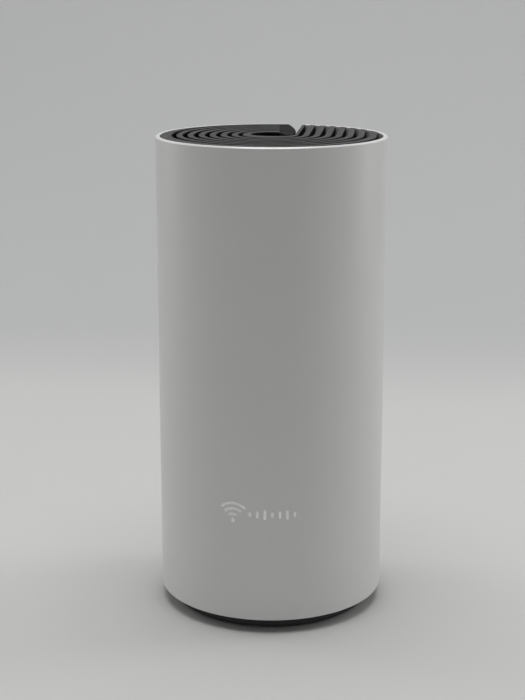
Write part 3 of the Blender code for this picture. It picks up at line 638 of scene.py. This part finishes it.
def tongue_left_x(y):
    """The left edge of the smooth tongue beside the notch, where the fins end."""
    share = (y - TONGUE_FRONT[1]) / (TONGUE_BACK[1] - TONGUE_FRONT[1])
    return TONGUE_FRONT[0] + share * (TONGUE_BACK[0] - TONGUE_FRONT[0])


def make_outer_shell():
    """The white tube: rounded rim, clamping ledge, rear groove slot and socket window."""
    ring_outer = 41.4 + GAP
    ledge = (13.0, 14.5)
    inner_round = 0.35
    profile = arc((BODY_RADIUS - 0.5, SHELL_BOTTOM + 0.5), 0.5, -90.0, 0.0, 5)
    soft = 0.15
    profile += arc((BODY_RADIUS - soft, TOP_Z - RIM_CHAMFER), soft, 0.0, 45.0, 3)
    profile += arc((BODY_RADIUS - RIM_CHAMFER, TOP_Z - soft), soft, 45.0, 90.0, 3)
    profile += arc((SHELL_INNER + inner_round, TOP_Z - inner_round), inner_round, 90.0, 180.0, 4)
    profile += [
        (SHELL_INNER, ledge[1]), (ring_outer, ledge[1]),
        (ring_outer, ledge[0]), (SHELL_INNER, ledge[0]),
        (SHELL_INNER, SHELL_BOTTOM + 0.2), (SHELL_INNER + 0.2, SHELL_BOTTOM),
    ]
    groove = rectangle(GROOVE_LEFT_X, GROOVE_RIGHT_X, 30.0, 50.0)
    window = rounded_rectangle(-BAY_HALF_WIDTH, BAY_HALF_WIDTH, *BAY_Z, BAY_CORNER)
    mesh = cut(
        turned(profile),
        prism(groove, BAY_Z[1] - 2.0, TOP_Z + 5.0),
        prism(window, 20.0, 50.0, "Y"),
    )
    replaced("outer_shell", mesh, shell_white(), 0.35, 3)


def slot_outline(radius):
    """One vent slot: from the right rear rim, round the front, the left and the back."""
    inner = radius - SLOT_WIDTH / 2.0
    outer = radius + SLOT_WIDTH / 2.0
    reach = BODY_RADIUS + 2.0
    end_x = tongue_left_x(SWIRL_BACK_Y + radius) - SWIRL_X
    end_angle = math.degrees(math.acos(end_x / radius))
    turns = max(24, int(radius * 1.6))
    front = (SWIRL_X, 0.0)
    back = (SWIRL_X, SWIRL_BACK_Y)
    outline = [(SWIRL_X + outer, reach)]
    outline += arc(front, outer, 0.0, -180.0, turns)
    outline += arc(back, outer, 180.0, end_angle, turns // 2)
    outline += arc(back, inner, end_angle, 180.0, turns // 2)
    outline += arc(front, inner, -180.0, 0.0, turns)
    outline += [(SWIRL_X + inner, reach)]
    return outline


def eye_and_notch_outline():
    """The central eye, the thin gap round the tongue's end and the notch, as one opening."""
    rim_y = BODY_RADIUS + 2.0
    outline = [(NOTCH_RIGHT_X, rim_y)]
    outline += arc((2.6, 1.7), 6.5, 0.0, -90.0, 20)
    outline += arc(EYE_CENTRE, EYE_RADIUS, -90.0, -295.0, 48)
    outline += arc((6.85, 0.8), 1.65, 190.0, 360.0, 16)
    for step in range(17):
        y = NOTCH_TIP[1] + (rim_y - NOTCH_TIP[1]) * step / 16.0
        outline.append((notch_left_x(y), y))
    return outline


def rim_crescent_outline():
    """The gap between the outermost fin and the rim, widest on the right."""
    fin_edge_x = 40.9
    outline = arc((0.0, 0.0), BODY_RADIUS, -130.0, 25.0, 48)
    outline += [(fin_edge_x, 20.0)]
    outline += arc((-0.92, -1.1), 41.82, 0.0, -126.0, 48)
    return outline


def pocket_outline(start, end):
    """One underside pocket between two spokes of the vent's frame."""
    inner, outer = 14.0, 39.8
    half_spoke = 1.3
    inner_turn = math.degrees(half_spoke / inner)
    outer_turn = math.degrees(half_spoke / outer)
    outline = arc((0.0, 0.0), outer, start + outer_turn, end - outer_turn, 16)
    outline += arc((0.0, 0.0), inner, end - inner_turn, start + inner_turn, 8)
    return outline


def make_top_vent():
    """The vent cap with every fin's top edges rounded."""
    pockets = bmesh.new()
    spokes = (-84.0, -48.0, -12.0, 24.0, 60.0, 115.0, 153.0, 192.0, 234.0, 276.0)
    for start, end in zip(spokes, spokes[1:]):
        add_prism(pockets, pocket_outline(start, end), VENT_BOTTOM - 1.0, VENT_FRAME_TOP)
    slots = bmesh.new()
    for index in range(SLOT_COUNT):
        outline = slot_outline(SLOT_FIRST_RADIUS + SLOT_PITCH * index)
        add_prism(slots, outline, SLOT_FLOOR, TOP_Z + 1.0)
    steps = [
        ("DIFFERENCE", mesh_of(pockets)),
        ("DIFFERENCE", mesh_of(slots)),
        ("DIFFERENCE", prism(rim_crescent_outline(), SLOT_FLOOR, TOP_Z + 1.0)),
    ]
    for angle in VENT_SCREW_ANGLES:
        centre = polar(VENT_SCREW_RADIUS, angle)
        boss = prism(circle(centre, 2.9, 32), VENT_LOW.z, 183.0)
        pilot = prism(circle(centre, 1.3, 24), VENT_LOW.z - 1.0, 181.0)
        steps += [("UNION", boss), ("DIFFERENCE", pilot)]
    opening = prism(eye_and_notch_outline(), VENT_BOTTOM - 2.0, TOP_Z + 2.0)
    steps.append(("DIFFERENCE", opening))
    disc = prism(circle((0.0, 0.0), VENT_RADIUS, FINE_STEPS), VENT_BOTTOM, TOP_Z)
    mesh = round_level_edges(combined(disc, steps), TOP_Z, FIN_ROUND)
    replaced("top_vent", mesh, vent_satin())


def make_front_mark():
    """A plain signal sign, arcs over a dot, and a row of level bars, low on the front."""
    raised, sunk = 0.04, 0.15
    shapes = [circle(MARK_DOT, 0.95, 32)]
    for radius in MARK_ARCS:
        outline = arc(MARK_DOT, radius + MARK_STROKE, 45.0, 135.0, 32)
        outline += arc(MARK_DOT, radius - MARK_STROKE, 135.0, 45.0, 32)
        shapes.append(outline)
    for index in range(MARK_BARS):
        along, half = MARK_BAR_START + MARK_BAR_PITCH * index, 1.0 + 0.5 * (index % 3)
        shapes.append(rounded_rectangle(along - MARK_STROKE, along + MARK_STROKE,
                                        MARK_BAR_Z - half, MARK_BAR_Z + half, 0.5))
    work = bmesh.new()
    for outline in shapes:
        add_prism(work, outline, BODY_RADIUS - sunk, BODY_RADIUS + raised)
    bmesh.ops.triangulate(work, faces=work.faces, ngon_method="BEAUTY")
    for vertex in work.verts:
        along, up, radius = vertex.co
        x, y = polar(radius, -90.0 + math.degrees(along / BODY_RADIUS))
        vertex.co = (x, y, up)
    bmesh.ops.recalc_face_normals(work, faces=work.faces)
    ink = brushed("mark_silver_ink", (0.92, 0.92, 0.91), 0.34, (1.0, 1.0, 1.0), 900.0)
    mark = added("front_mark", work, ink)
    mark.data.set_sharp_from_angle(angle=FOLD)


def make_rear_parts():
    """The liner of the rear groove and the socket panel."""
    satin = moulded("spine_dark_satin", (0.035, 0.035, 0.038), 0.45)
    softened("rear_spine", satin, 0.3, 3)
    grained = moulded("panel_dark_grain", (0.03, 0.03, 0.033), 0.55, grain=1100.0, depth=0.03)
    softened("port_panel", grained, 0.3, 3)


# ---- foot

def base_air_slots():
    """Radial air slots with round ends, all round except under the button board."""
    inner, outer, half = 21.9, 27.6, 0.9
    work = bmesh.new()
    for index in range(17):
        angle = -30.0 + 15.0 * index
        outline = arc(polar(outer, angle), half, angle - 90.0, angle + 90.0, 8)
        outline += arc(polar(inner, angle), half, angle + 90.0, angle + 270.0, 8)
        add_prism(work, outline, 0.0, 5.0)
    return mesh_of(work)


def led_window_mesh(margin, inner, outer):
    """A short curved bar in the front of the foot wall."""
    half_turn = 6.0 + math.degrees(margin / FOOT_RADIUS)
    outline = arc((0.0, 0.0), outer, -90.0 - half_turn, -90.0 + half_turn, 20)
    outline += arc((0.0, 0.0), inner, -90.0 + half_turn, -90.0 - half_turn, 20)
    return prism(outline, 3.6 - margin, 5.0 + margin)


def make_base_cover():
    """Dark foot: round-ended air slots, screw posts with sinks, reset and light holes."""
    low = BASE_LOW.z
    flange = SHELL_INNER - GAP
    round_edge = 0.65
    profile = [(0.0, low)]
    profile += arc((FOOT_RADIUS - round_edge, low + round_edge), round_edge, -90.0, 0.0, 8)
    profile += [
        (FOOT_RADIUS, SHELL_BOTTOM + GAP), (flange, SHELL_BOTTOM + GAP), (flange, BASE_TOP),
        (41.6, BASE_TOP), (41.6, 7.6), (38.4, 7.6), (38.4, BASE_FLOOR), (0.0, BASE_FLOOR),
    ]
    groove = [
        (PAD_LOW_RADIUS - GAP, 0.0), (PAD_HIGH.x + GAP, 0.0),
        (PAD_HIGH.x + GAP, PAD_HIGH.z + GAP), (PAD_LOW_RADIUS - GAP, PAD_HIGH.z + GAP),
    ]
    posts, holes = [], [turned(groove)]
    for angle in BASE_SCREW_ANGLES:
        centre = polar(BASE_SCREW_RADIUS, angle)
        posts.append(prism(circle(centre, 4.2, 48), 2.6, BASE_HIGH.z))
        bore = prism(circle(centre, 1.6, 32), 1.0, BASE_HIGH.z + 1.0)
        sink = prism(circle(centre, 3.0, 40), 1.0, 6.2)
        holes += [bore, sink]
    for centre in BUTTON_BOARD_SCREWS:
        top = BUTTON_LOW.z - GAP
        posts.append(prism(circle(centre, 2.4, 32), 2.8, top))
        holes.append(prism(circle(centre, 1.2, 24), 5.0, top + 1.0))
    reset_hole = prism(circle(RESET_XY, RESET_HOLE_RADIUS, 48), 0.0, 5.0)
    holes += [base_air_slots(), reset_hole, led_window_mesh(GAP, 37.0, 42.0)]
    steps = [("UNION", post) for post in posts] + [("DIFFERENCE", hole) for hole in holes]
    mesh = merge_flats(combined(turned(profile), steps))
    finish = moulded("base_dark_grain", (0.028, 0.028, 0.03), 0.52, grain=1000.0, depth=0.03)
    replaced("base_cover", mesh, finish, 0.2)


def make_base_details():
    """Rubber foot with fine grooves, the light window and a blank rating label."""
    inner, outer, top = PAD_LOW_RADIUS, PAD_HIGH.x, PAD_HIGH.z
    profile = arc((inner + 0.5, 0.5), 0.5, 180.0, 270.0, 5)
    for radius in (33.0, 34.5, 36.0):
        profile += [(radius - 0.3, 0.0), (radius - 0.2, 0.35),
                    (radius + 0.2, 0.35), (radius + 0.3, 0.0)]
    profile += arc((outer - 0.5, 0.5), 0.5, 270.0, 360.0, 5)
    profile += [(outer, top), (inner, top)]
    replaced("foot_ring", turned(profile), rubber_black())
    lens = led_window_mesh(0.0, 38.2, FOOT_RADIUS - 0.1)
    smoked = clear_resin("lens_smoked", (0.10, 0.10, 0.11), 0.12, 0.6)
    replaced("led_window", lens, smoked, 0.15, 3)
    low, high = span("rating_label")
    label = rounded_rectangle(low.x, high.x, low.y, high.y, 1.5)
    replaced("rating_label", prism(label, low.z, high.z), paper_label(), 0.05)


def make_reset_button():
    """The recessed button, the switch's plunger and the switch's steel case."""
    x, y = RESET_XY
    button = [(0.0, 1.78), (0.7, 1.75), (1.2, 1.6)]
    button += arc((1.6, 1.9), 0.3, -90.0, 0.0, 5)
    button += [(1.9, 3.6), (3.1, 3.6), (3.2, 3.7), (3.2, 4.5), (3.1, 4.6),
               (1.9, 4.6), (1.9, 6.3), (1.8, 6.4), (0.0, 6.4)]
    plunger = [(0.0, 6.7), (0.8, 6.7), (1.0, 6.9), (1.0, 9.0), (0.0, 9.0)]
    finish = moulded("button_dark", (0.07, 0.07, 0.072), 0.45)
    mesh = shifted(turned(button, 64), (x, y, 0.0))
    replaced("reset_button", mesh, finish, body=BUTTON)
    mesh = shifted(turned(plunger, 48), (x, y, 0.0))
    nib = moulded("plunger_black", (0.03, 0.03, 0.03), 0.35)
    replaced("reset_plunger", mesh, nib, body=BUTTON)
    case = brushed("switch_case_steel", (0.60, 0.60, 0.61), 0.3)
    softened("reset_switch_body", case, 0.15)


# ---- sockets

def make_sockets():
    """Two network sockets with their contact springs, and the power socket."""
    tin = brushed("jack_bright_tin", (0.66, 0.66, 0.68), 0.26, (0.03, 1.0, 1.0))
    black = moulded("jack_black_nylon", (0.016, 0.016, 0.018), 0.4, grain=700.0, depth=0.01)
    gold = brushed("contact_gold", (0.86, 0.62, 0.25), 0.22, (1.0, 0.05, 0.05))
    for number in (1, 2):
        shell, insert = f"lan_jack_{number}", f"lan_insert_{number}"
        softened(shell, tin, 0.12, 3)
        softened(insert, black, 0.18)
        low, high = span(insert)
        middle_x, floor_z, front_y = (low.x + high.x) / 2.0, LAN_Z - 4.9, high.y
        work = bmesh.new()
        for index in range(8):
            x = middle_x + (index - 3.5) * 1.02
            spring = [(x, front_y - 1.6, floor_z - 0.1), (x, front_y - 2.0, floor_z + 0.35)]
            for step in range(7):
                share = step / 6.0
                rise = 0.5 + 2.9 * share ** 1.3
                spring.append((x, front_y - 2.8 - 8.6 * share, floor_z + rise))
            spring.append((x, front_y - 12.2, floor_z + 3.0))
            add_tube(work, spring, 0.2, 8)
        added(f"lan_contacts_{number}", work, gold)
    low, high = span("dc_jack")
    centre = (0.0, (low.z + high.z) / 2.0)
    room_floor = high.y - 10.0
    body = cut(
        prism(rectangle(low.x, high.x, low.z, high.z), low.y, high.y, "Y"),
        prism(circle(centre, 3.2, 64), room_floor, high.y + 1.0, "Y"),
        prism(circle(centre, 3.7, 64), high.y - 0.5, high.y + 1.0, "Y"),
    )
    replaced("dc_jack", body, black, 0.2, 3)
    pin_low, pin_high = span("dc_pin")
    length = pin_high.y - pin_low.y
    profile = [(0.0, 0.0), (1.0, 0.0), (1.0, length - 0.7)]
    profile += arc((0.3, length - 0.7), 0.7, 0.0, 90.0, 8) + [(0.0, length)]
    pin = shifted(turned(profile, 48), (0.0, pin_low.y, centre[1]), TO_BACK)
    replaced("dc_pin", pin, gold)


# ---- chassis and boards

def make_chassis():
    finish = moulded("chassis_grey_black", (0.055, 0.055, 0.06), 0.55, grain=900.0, depth=0.03)
    softened("chassis_frame", finish, 0.25)


def make_boards():
    """Both circuit boards and the heat sink on the main one."""
    mask = circuit_green("board_solder_mask")
    for node in ("main_board", "button_board"):
        softened(node, mask, 0.06)
    finish = brushed("heat_sink_extruded", (0.70, 0.71, 0.73), 0.36, (1.0, 1.0, 0.02), 1400.0)
    softened("heat_sink", finish, 0.14)


def add_block(work, low, high):
    add_prism(work, rectangle(low[0], high[0], low[1], high[1]), low[2], high[2])


def add_legs(work, low, high, count, board_y, outward):
    """Gull-wing legs down both long sides of a chip that lies on an upright board."""
    for index in range(count):
        x = low.x + (high.x - low.x) * (index + 0.5) / count
        for side_z, away in ((low.z, -1.0), (high.z, 1.0)):
            knee_y = board_y + outward * 1.6
            points = [(x, knee_y, side_z - away * 0.3), (x, knee_y, side_z + away * 0.7),
                      (x, board_y + outward * 0.15, side_z + away * 1.1),
                      (x, board_y + outward * 0.15, side_z + away * 1.9)]
            add_tube(work, points, 0.16, 6)


def make_board_parts():
    """Chips under their cans, thermal pads, network transformers, coil and capacitors."""
    tin = brushed("shield_tin_plate", (0.62, 0.62, 0.60), 0.3, (1.0, 0.04, 1.0))
    epoxy = moulded("chip_epoxy_black", (0.02, 0.02, 0.021), 0.5, grain=600.0, depth=0.015)
    pad = moulded("thermal_pad_grey", (0.26, 0.32, 0.40), 0.85, grain=500.0, depth=0.04)
    ferrite = moulded("ferrite_grey", (0.045, 0.045, 0.048), 0.7, grain=420.0, depth=0.05)
    for name in ("cpu", "radio"):
        softened(f"{name}_shield", tin, 0.2, 3)
        softened(f"{name}_chip", epoxy, 0.12)
        softened(f"{name}_thermal_pad", pad, 0.2)
    legs = bmesh.new()
    for number in (1, 2):
        node = f"lan_transformer_{number}"
        low, high = span(node)
        softened(node, epoxy, 0.3)
        add_legs(legs, low, high, 10, BOARD_HIGH.y, 1.0)
    leg_tin = brushed("leg_tin", (0.70, 0.70, 0.70), 0.25)
    added("lan_transformer_legs", legs, leg_tin)
    low, high = span("power_inductor")
    middle = ((low.x + high.x) / 2.0, (low.z + high.z) / 2.0)
    coil = cut(
        prism(rounded_rectangle(low.x, high.x, low.z, high.z, 2.5), low.y, high.y, "Y"),
        prism(circle(middle, 3.6, 48), low.y - 1.0, low.y + 0.5, "Y"),
    )
    replaced("power_inductor", coil, ferrite, 0.35, 3)
    make_capacitors()


def make_capacitors():
    """Cans with a crimped neck and a scored vent cross on top."""
    sleeve = brushed("capacitor_aluminium", (0.72, 0.72, 0.74), 0.32)
    for number in (1, 2, 3):
        node = f"capacitor_{number}"
        low, high = span(node)
        radius, length = (high.x - low.x) / 2.0, high.y - low.y
        profile = [(0.0, 0.0), (radius - 0.3, 0.0), (radius - 0.1, 0.3), (radius, 0.6),
                   (radius, 1.0)]
        profile += arc((radius + 0.15, 1.6), 0.6, 250.0, 110.0, 8)
        profile += [(radius, 2.2), (radius, length - 0.6)]
        profile += arc((radius - 0.6, length - 0.6), 0.6, 0.0, 90.0, 6) + [(0.0, length)]
        half, arm = 0.09, radius * 0.62
        scores = [prism(rectangle(-x, x, -y, y), length - 0.2, length + 1.0)
                  for x, y in ((arm, half), (half, arm))]
        can = cut(turned(profile, 64), *scores)
        place = ((low.x + high.x) / 2.0, high.y, (low.z + high.z) / 2.0)
        replaced(node, shifted(can, place, TO_FRONT), sleeve)


def make_small_parts():
    """Rows of small chips, resistors and capacitors on both faces of the main board."""
    dice = random.Random(SEED)
    bodies, ends, chips, legs = bmesh.new(), bmesh.new(), bmesh.new(), bmesh.new()
    front, back = BOARD_LOW.y, BOARD_HIGH.y
    areas = (
        (front, -1.0, (-28.0, 28.0), (44.0, 70.0)),
        (back, 1.0, (-29.0, 29.0), (72.0, 158.0)),
    )
    chip_places = (
        (front, -1.0, -16.0, 56.0, 8.0, 5.0), (front, -1.0, 12.0, 58.0, 6.0, 5.0),
        (back, 1.0, -12.0, 96.0, 12.0, 9.0), (back, 1.0, 12.0, 118.0, 10.0, 8.0),
        (back, 1.0, -14.0, 138.0, 7.0, 5.0),
    )
    taken = [(back, x - 3.0, x + 3.0, z - 4.0, z + 4.0) for x, z in HEAT_SINK_SCREWS]
    for board_y, outward, x, z, width, height in chip_places:
        low = Vector((x - width / 2.0, 0.0, z - height / 2.0))
        high = Vector((x + width / 2.0, 0.0, z + height / 2.0))
        near, far = sorted((board_y + outward * 0.15, board_y + outward * 1.5))
        add_block(chips, (low.x, near, low.z), (high.x, far, high.z))
        add_legs(legs, low, high, int(width / 0.9), board_y, outward * 0.55)
        taken.append((board_y, low.x - 2.0, high.x + 2.0, low.z - 3.2, high.z + 3.2))
    for board_y, outward, x_span, z_span in areas:
        z = z_span[0]
        while z < z_span[1]:
            x = x_span[0] + dice.uniform(0.0, 2.0)
            while x < x_span[1]:
                length, width = dice.choice(((1.6, 0.8), (2.0, 1.25), (1.0, 0.5)))
                free = not any(side == board_y and x0 < x < x1 and z0 < z < z1
                               for side, x0, x1, z0, z1 in taken)
                if free and dice.random() < 0.55:
                    near, far = sorted((board_y, board_y + outward * width * 0.6))
                    add_block(bodies, (x - length * 0.3, near, z - width / 2.0),
                              (x + length * 0.3, far, z + width / 2.0))
                    for side in (-1.0, 1.0):
                        edges = sorted((x + side * length * 0.3, x + side * length * 0.5))
                        add_block(ends, (edges[0], near, z - width / 2.0),
                                  (edges[1], far, z + width / 2.0))
                x += dice.uniform(2.6, 4.2)
            z += 2.4
    epoxy = moulded("small_chip_epoxy", (0.022, 0.022, 0.024), 0.5, grain=600.0, depth=0.015)
    ceramic = moulded("ceramic_tan", (0.20, 0.15, 0.10), 0.45, grain=700.0, depth=0.01)
    tin = brushed("solder_tin", (0.70, 0.70, 0.69), 0.28)
    added("small_part_bodies", bodies, ceramic, 0.04)
    added("small_part_ends", ends, tin, 0.04)
    added("small_chips", chips, epoxy, 0.1)
    added("small_chip_legs", legs, tin)


# ---- ribbon, antennas, leads

def make_ribbon():
    """A ten-way flat cable with rounded ways, its two sockets and the status light."""
    top = BUTTON_HIGH.z + GAP
    back_y = BOARD_LOW.y - GAP
    low_z, end_y, bend = top + 1.2, back_y - 1.2, 5.2
    path = [(-17.0 + GAP, low_z)]
    path += arc((end_y - bend, low_z + bend), bend, -90.0, 0.0, 16)
    path.append((end_y, 21.0 - GAP))
    work = bmesh.new()
    ways, radius = 10, 0.2
    for index in range(ways):
        x = (index - (ways - 1) / 2.0)
        rings = []
        for number, (y, z) in enumerate(path):
            before, after = path[max(number - 1, 0)], path[min(number + 1, len(path) - 1)]
            ahead = Vector((0.0, after[0] - before[0], after[1] - before[1])).normalized()
            across = ahead.cross(Vector((1.0, 0.0, 0.0)))
            ring = []
            for step in range(12):
                side, up = polar(1.0, 30.0 * step)
                place = Vector((x + side * 0.5, y, z)) + across * (up * radius)
                ring.append(work.verts.new(place))
            rings.append(ring)
        add_rings(work, rings)
    bmesh.ops.recalc_face_normals(work, faces=work.faces)
    white = moulded("ribbon_white_vinyl", (0.72, 0.72, 0.69), 0.5, grain=500.0, depth=0.01)
    replaced("ribbon_cable", mesh_of(work), white)
    nylon = moulded("socket_cream_nylon", (0.66, 0.62, 0.52), 0.45, grain=700.0, depth=0.01)
    for node in ("ribbon_socket_button", "ribbon_socket_main"):
        low, high = span(node)
        flat = node.endswith("button")
        work = bmesh.new()
        for index in range(11):
            x = -5.2 + 1.04 * index
            if flat:
                near, far = (high.y - 0.05, low.z + 1.6), (high.y, high.z)
            else:
                near, far = (low.y, high.z - 0.05), (high.y - 1.4, high.z)
            add_block(work, (x - 0.3, *near), (x + 0.3, *far))
        replaced(node, cut(flat_copy(node), mesh_of(work)), nylon, 0.15)
    led = clear_resin("led_water_clear", (0.86, 0.87, 0.80), 0.15, 0.4)
    softened("status_led", led, 0.2, 3)


def smooth_route(points, per_span):
    """A Catmull-Rom curve through the points."""
    points = [Vector(point) for point in points]
    padded = [2 * points[0] - points[1]] + points + [2 * points[-1] - points[-2]]
    route = []
    for index in range(1, len(padded) - 2):
        before, start, end, after = padded[index - 1:index + 3]
        for step in range(per_span):
            t = step / per_span
            route.append(0.5 * (2 * start + (end - before) * t
                                + (2 * before - 5 * start + 4 * end - after) * t * t
                                + (3 * start - before - 3 * end + after) * t ** 3))
    route.append(points[-1])
    return route


def make_antennas():
    """Four antenna boards with raised copper, and their leads with board connectors."""
    mask = circuit_green("antenna_solder_mask", copper=False)
    copper = brushed("antenna_copper", (0.80, 0.50, 0.30), 0.35)
    jacket = moulded("coax_black", (0.025, 0.025, 0.026), 0.42, grain=900.0, depth=0.008)
    gold = brushed("connector_gold", (0.84, 0.62, 0.28), 0.25)
    for name, angle, width, low in ANTENNAS:
        softened(name, mask, 0.06)
        high = UPPER_RING_LOW - GAP
        outer = ANTENNA_INNER + ANTENNA_THICKNESS
        along = Vector((*polar(1.0, angle), 0.0))
        across = Vector((-along.y, along.x, 0.0))
        arm, line = width / 2.0 - 1.0, 0.5
        bars = [((-line, line), (low + 1.0, low + 12.0)),
                ((-arm, arm), (low + 12.0, low + 12.0 + 2.0 * line)),
                ((-arm, -arm + 2.0 * line), (low + 13.0, high - 4.0)),
                ((arm - 2.0 * line, arm), (low + 13.0, high - 8.0)),
                ((-arm, arm - 2.5), (high - 4.0, high - 3.0))]
        work = bmesh.new()
        for (start, end), (z0, z1) in bars:
            add_prism(work, [tuple((along * depth + across * reach).xy)
                             for depth, reach in ((outer - 0.05, start), (outer + 0.06, start),
                                                  (outer + 0.06, end), (outer - 0.05, end))],
                      z0, z1)
        added(name + "_copper", work, copper)
    plugs = bmesh.new()
    plug = [(0.0, -0.2), (0.8, -0.2), (1.25, 0.1), (1.25, 0.9), (1.0, 1.2), (0.0, 1.2)]
    sides = [(side, points) for side in (-1.0, 1.0) for points in COAX_ROUTES]
    for number, (side, points) in enumerate(sides, 1):
        route = smooth_route([(side * x, y, z) for x, y, z in points], 10)
        work = bmesh.new()
        add_tube(work, route, COAX_RADIUS, 14)
        replaced(f"coax_{number}", mesh_of(work), jacket)
        made = len(plugs.verts)
        add_turned(plugs, plug, 32)
        plugs.verts.ensure_lookup_table()
        for vertex in plugs.verts[made:]:
            vertex.co = TO_BACK @ vertex.co + route[-1]
    added("coax_plugs", plugs, gold)


# ---- screws

def screw_mesh(head_radius, head_height, shank_radius, length):
    """A pan-head screw that points up, with a cross recess and rolled threads."""
    profile = [(0.0, -head_height), (head_radius * 0.55, -head_height)]
    profile += arc((head_radius - 0.55, -head_height + 0.55), 0.55, -70.0, 0.0, 6)
    profile += [(head_radius, 0.0), (shank_radius, 0.0)]
    height = 0.8
    while height < length - 1.2:
        profile += [(shank_radius * 0.8, height), (shank_radius, height + 0.25)]
        height += 0.5
    profile += [(shank_radius * 0.8, length - 0.9), (0.0, length)]
    half, arm, tip = 0.25, head_radius * 0.62, head_radius * 0.2
    cross = [
        (half, half), (tip, arm), (-tip, arm), (-half, half), (-arm, tip), (-arm, -tip),
        (-half, -half), (-tip, -arm), (tip, -arm), (half, -half), (arm, -tip), (arm, tip),
    ]
    return cut(turned(profile, 40), prism(cross, -head_height - 1.0, -head_height * 0.45))


def make_screws():
    finish = brushed("screw_zinc", (0.60, 0.60, 0.62), 0.3, (1.0, 1.0, 0.2), 900.0)
    upright = Matrix.Identity(4)
    upside_down = Matrix.Rotation(math.pi, 4, "X")
    sets = (
        ("base_screw", (2.5, 1.7, 1.0, 15.0), upright,
         [(*polar(BASE_SCREW_RADIUS, angle), 5.9) for angle in BASE_SCREW_ANGLES]),
        ("vent_screw", (2.3, 1.5, 1.0, 11.0), upright,
         [(*polar(VENT_SCREW_RADIUS, angle), UPPER_RING_LOW - GAP)
          for angle in VENT_SCREW_ANGLES]),
        ("heat_sink_screw", (2.4, 1.5, 1.0, 6.4), TO_FRONT,
         [(x, BOARD_HIGH.y + GAP, z) for x, z in HEAT_SINK_SCREWS]),
        ("button_board_screw", (2.2, 1.4, 0.9, 5.0), upside_down,
         [(x, y, BUTTON_HIGH.z + GAP) for x, y in BUTTON_BOARD_SCREWS]),
    )
    for prefix, sizes, turn, places in sets:
        master = screw_mesh(*sizes)
        for number, place in enumerate(places, 1):
            mesh = shifted(master.copy(), place, turn)
            replaced(f"{prefix}_{number}", mesh, finish)


# ---- stage

def make_stage():
    """A pale paper sweep in metres: flat under the object, rising into a wall behind it."""
    wall_y, bend, height, half_width, front_y = 0.76, 0.45, 2.5, 7.0, -7.0
    profile = [(front_y, 0.0)]
    profile += arc((wall_y - bend, bend), bend, -90.0, 0.0, 32)
    profile.append((wall_y, height))
    work = bmesh.new()
    rows = [[work.verts.new((x, y, z)) for x in (-half_width, half_width)] for y, z in profile]
    for first, second in zip(rows, rows[1:]):
        work.faces.new((first[0], first[1], second[1], second[0]))
    mesh = bpy.data.meshes.new("studio_sweep")
    work.to_mesh(mesh)
    work.free()
    mesh.shade_smooth()
    mesh.materials.append(floor_paper())
    new_object("studio_sweep", mesh)


def area_light(name, place, target, size, power):
    data = bpy.data.lights.new(name, "AREA")
    data.shape = "RECTANGLE"
    data.size, data.size_y = size
    data.energy = power
    lamp = new_object(name, data)
    lamp.location = place
    lamp.visible_camera = False
    lamp.rotation_euler = (Vector(target) - Vector(place)).to_track_quat("-Z", "Y").to_euler()


def make_lights():
    """Soft light from above and from both sides, a little behind the object."""
    world = bpy.data.worlds.new("studio_world")
    world.use_nodes = True
    background = world.node_tree.nodes["Background"]
    background.inputs["Color"].default_value = (1.0, 1.0, 1.0, 1.0)
    background.inputs["Strength"].default_value = 0.17
    bpy.context.scene.world = world
    middle = (0.0, 0.0, 0.1)
    area_light("ceiling", (0.0, 0.0, 1.4), (0.0, 0.0, 0.0), (1.0, 0.9), 8.2)
    area_light("softbox", (0.0, -0.06, 0.75), (0.0, -0.06, 0.0), (0.3, 0.3), 0.4)
    area_light("left_window", (-1.1, 0.1, 0.5), middle, (0.9, 1.1), 0.7)
    area_light("left_strip", (-0.75, 0.25, 0.35), middle, (0.3, 0.6), 0.82)
    area_light("right_strip", (0.75, 0.25, 0.35), middle, (0.3, 0.6), 1.42)
    area_light("wall_wash", (0.0, 0.15, 0.9), (0.0, 0.75, 0.35), (1.2, 0.3), 0.5)


def make_camera():
    data = bpy.data.cameras.new("photo_camera")
    data.lens = LENS
    data.sensor_width = SENSOR
    data.clip_start = 0.01
    turn = Matrix.Rotation(math.radians(OBJECT_TURN), 3, "Z")
    camera = new_object("photo_camera", data)
    camera.location = turn @ Vector((CAMERA_SIDE, CAMERA_BACK, CAMERA_HEIGHT)) * MM
    pitch = math.radians(CAMERA_PITCH)
    ahead = turn @ Vector((0.0, math.cos(pitch), -math.sin(pitch)))
    camera.rotation_euler = ahead.to_track_quat("-Z", "Y").to_euler()
    bpy.context.scene.camera = camera
    bpy.context.scene.view_settings.view_transform = "Standard"


# ---- whole scene


def main():
    make_outer_shell()
    make_front_mark()
    make_top_vent()
    make_rear_parts()
    make_base_cover()
    make_base_details()
    make_reset_button()
    make_chassis()
    make_sockets()
    make_boards()
    make_board_parts()
    make_small_parts()
    make_ribbon()
    make_antennas()
    make_screws()
    make_stage()
    make_lights()
    make_camera()


main()
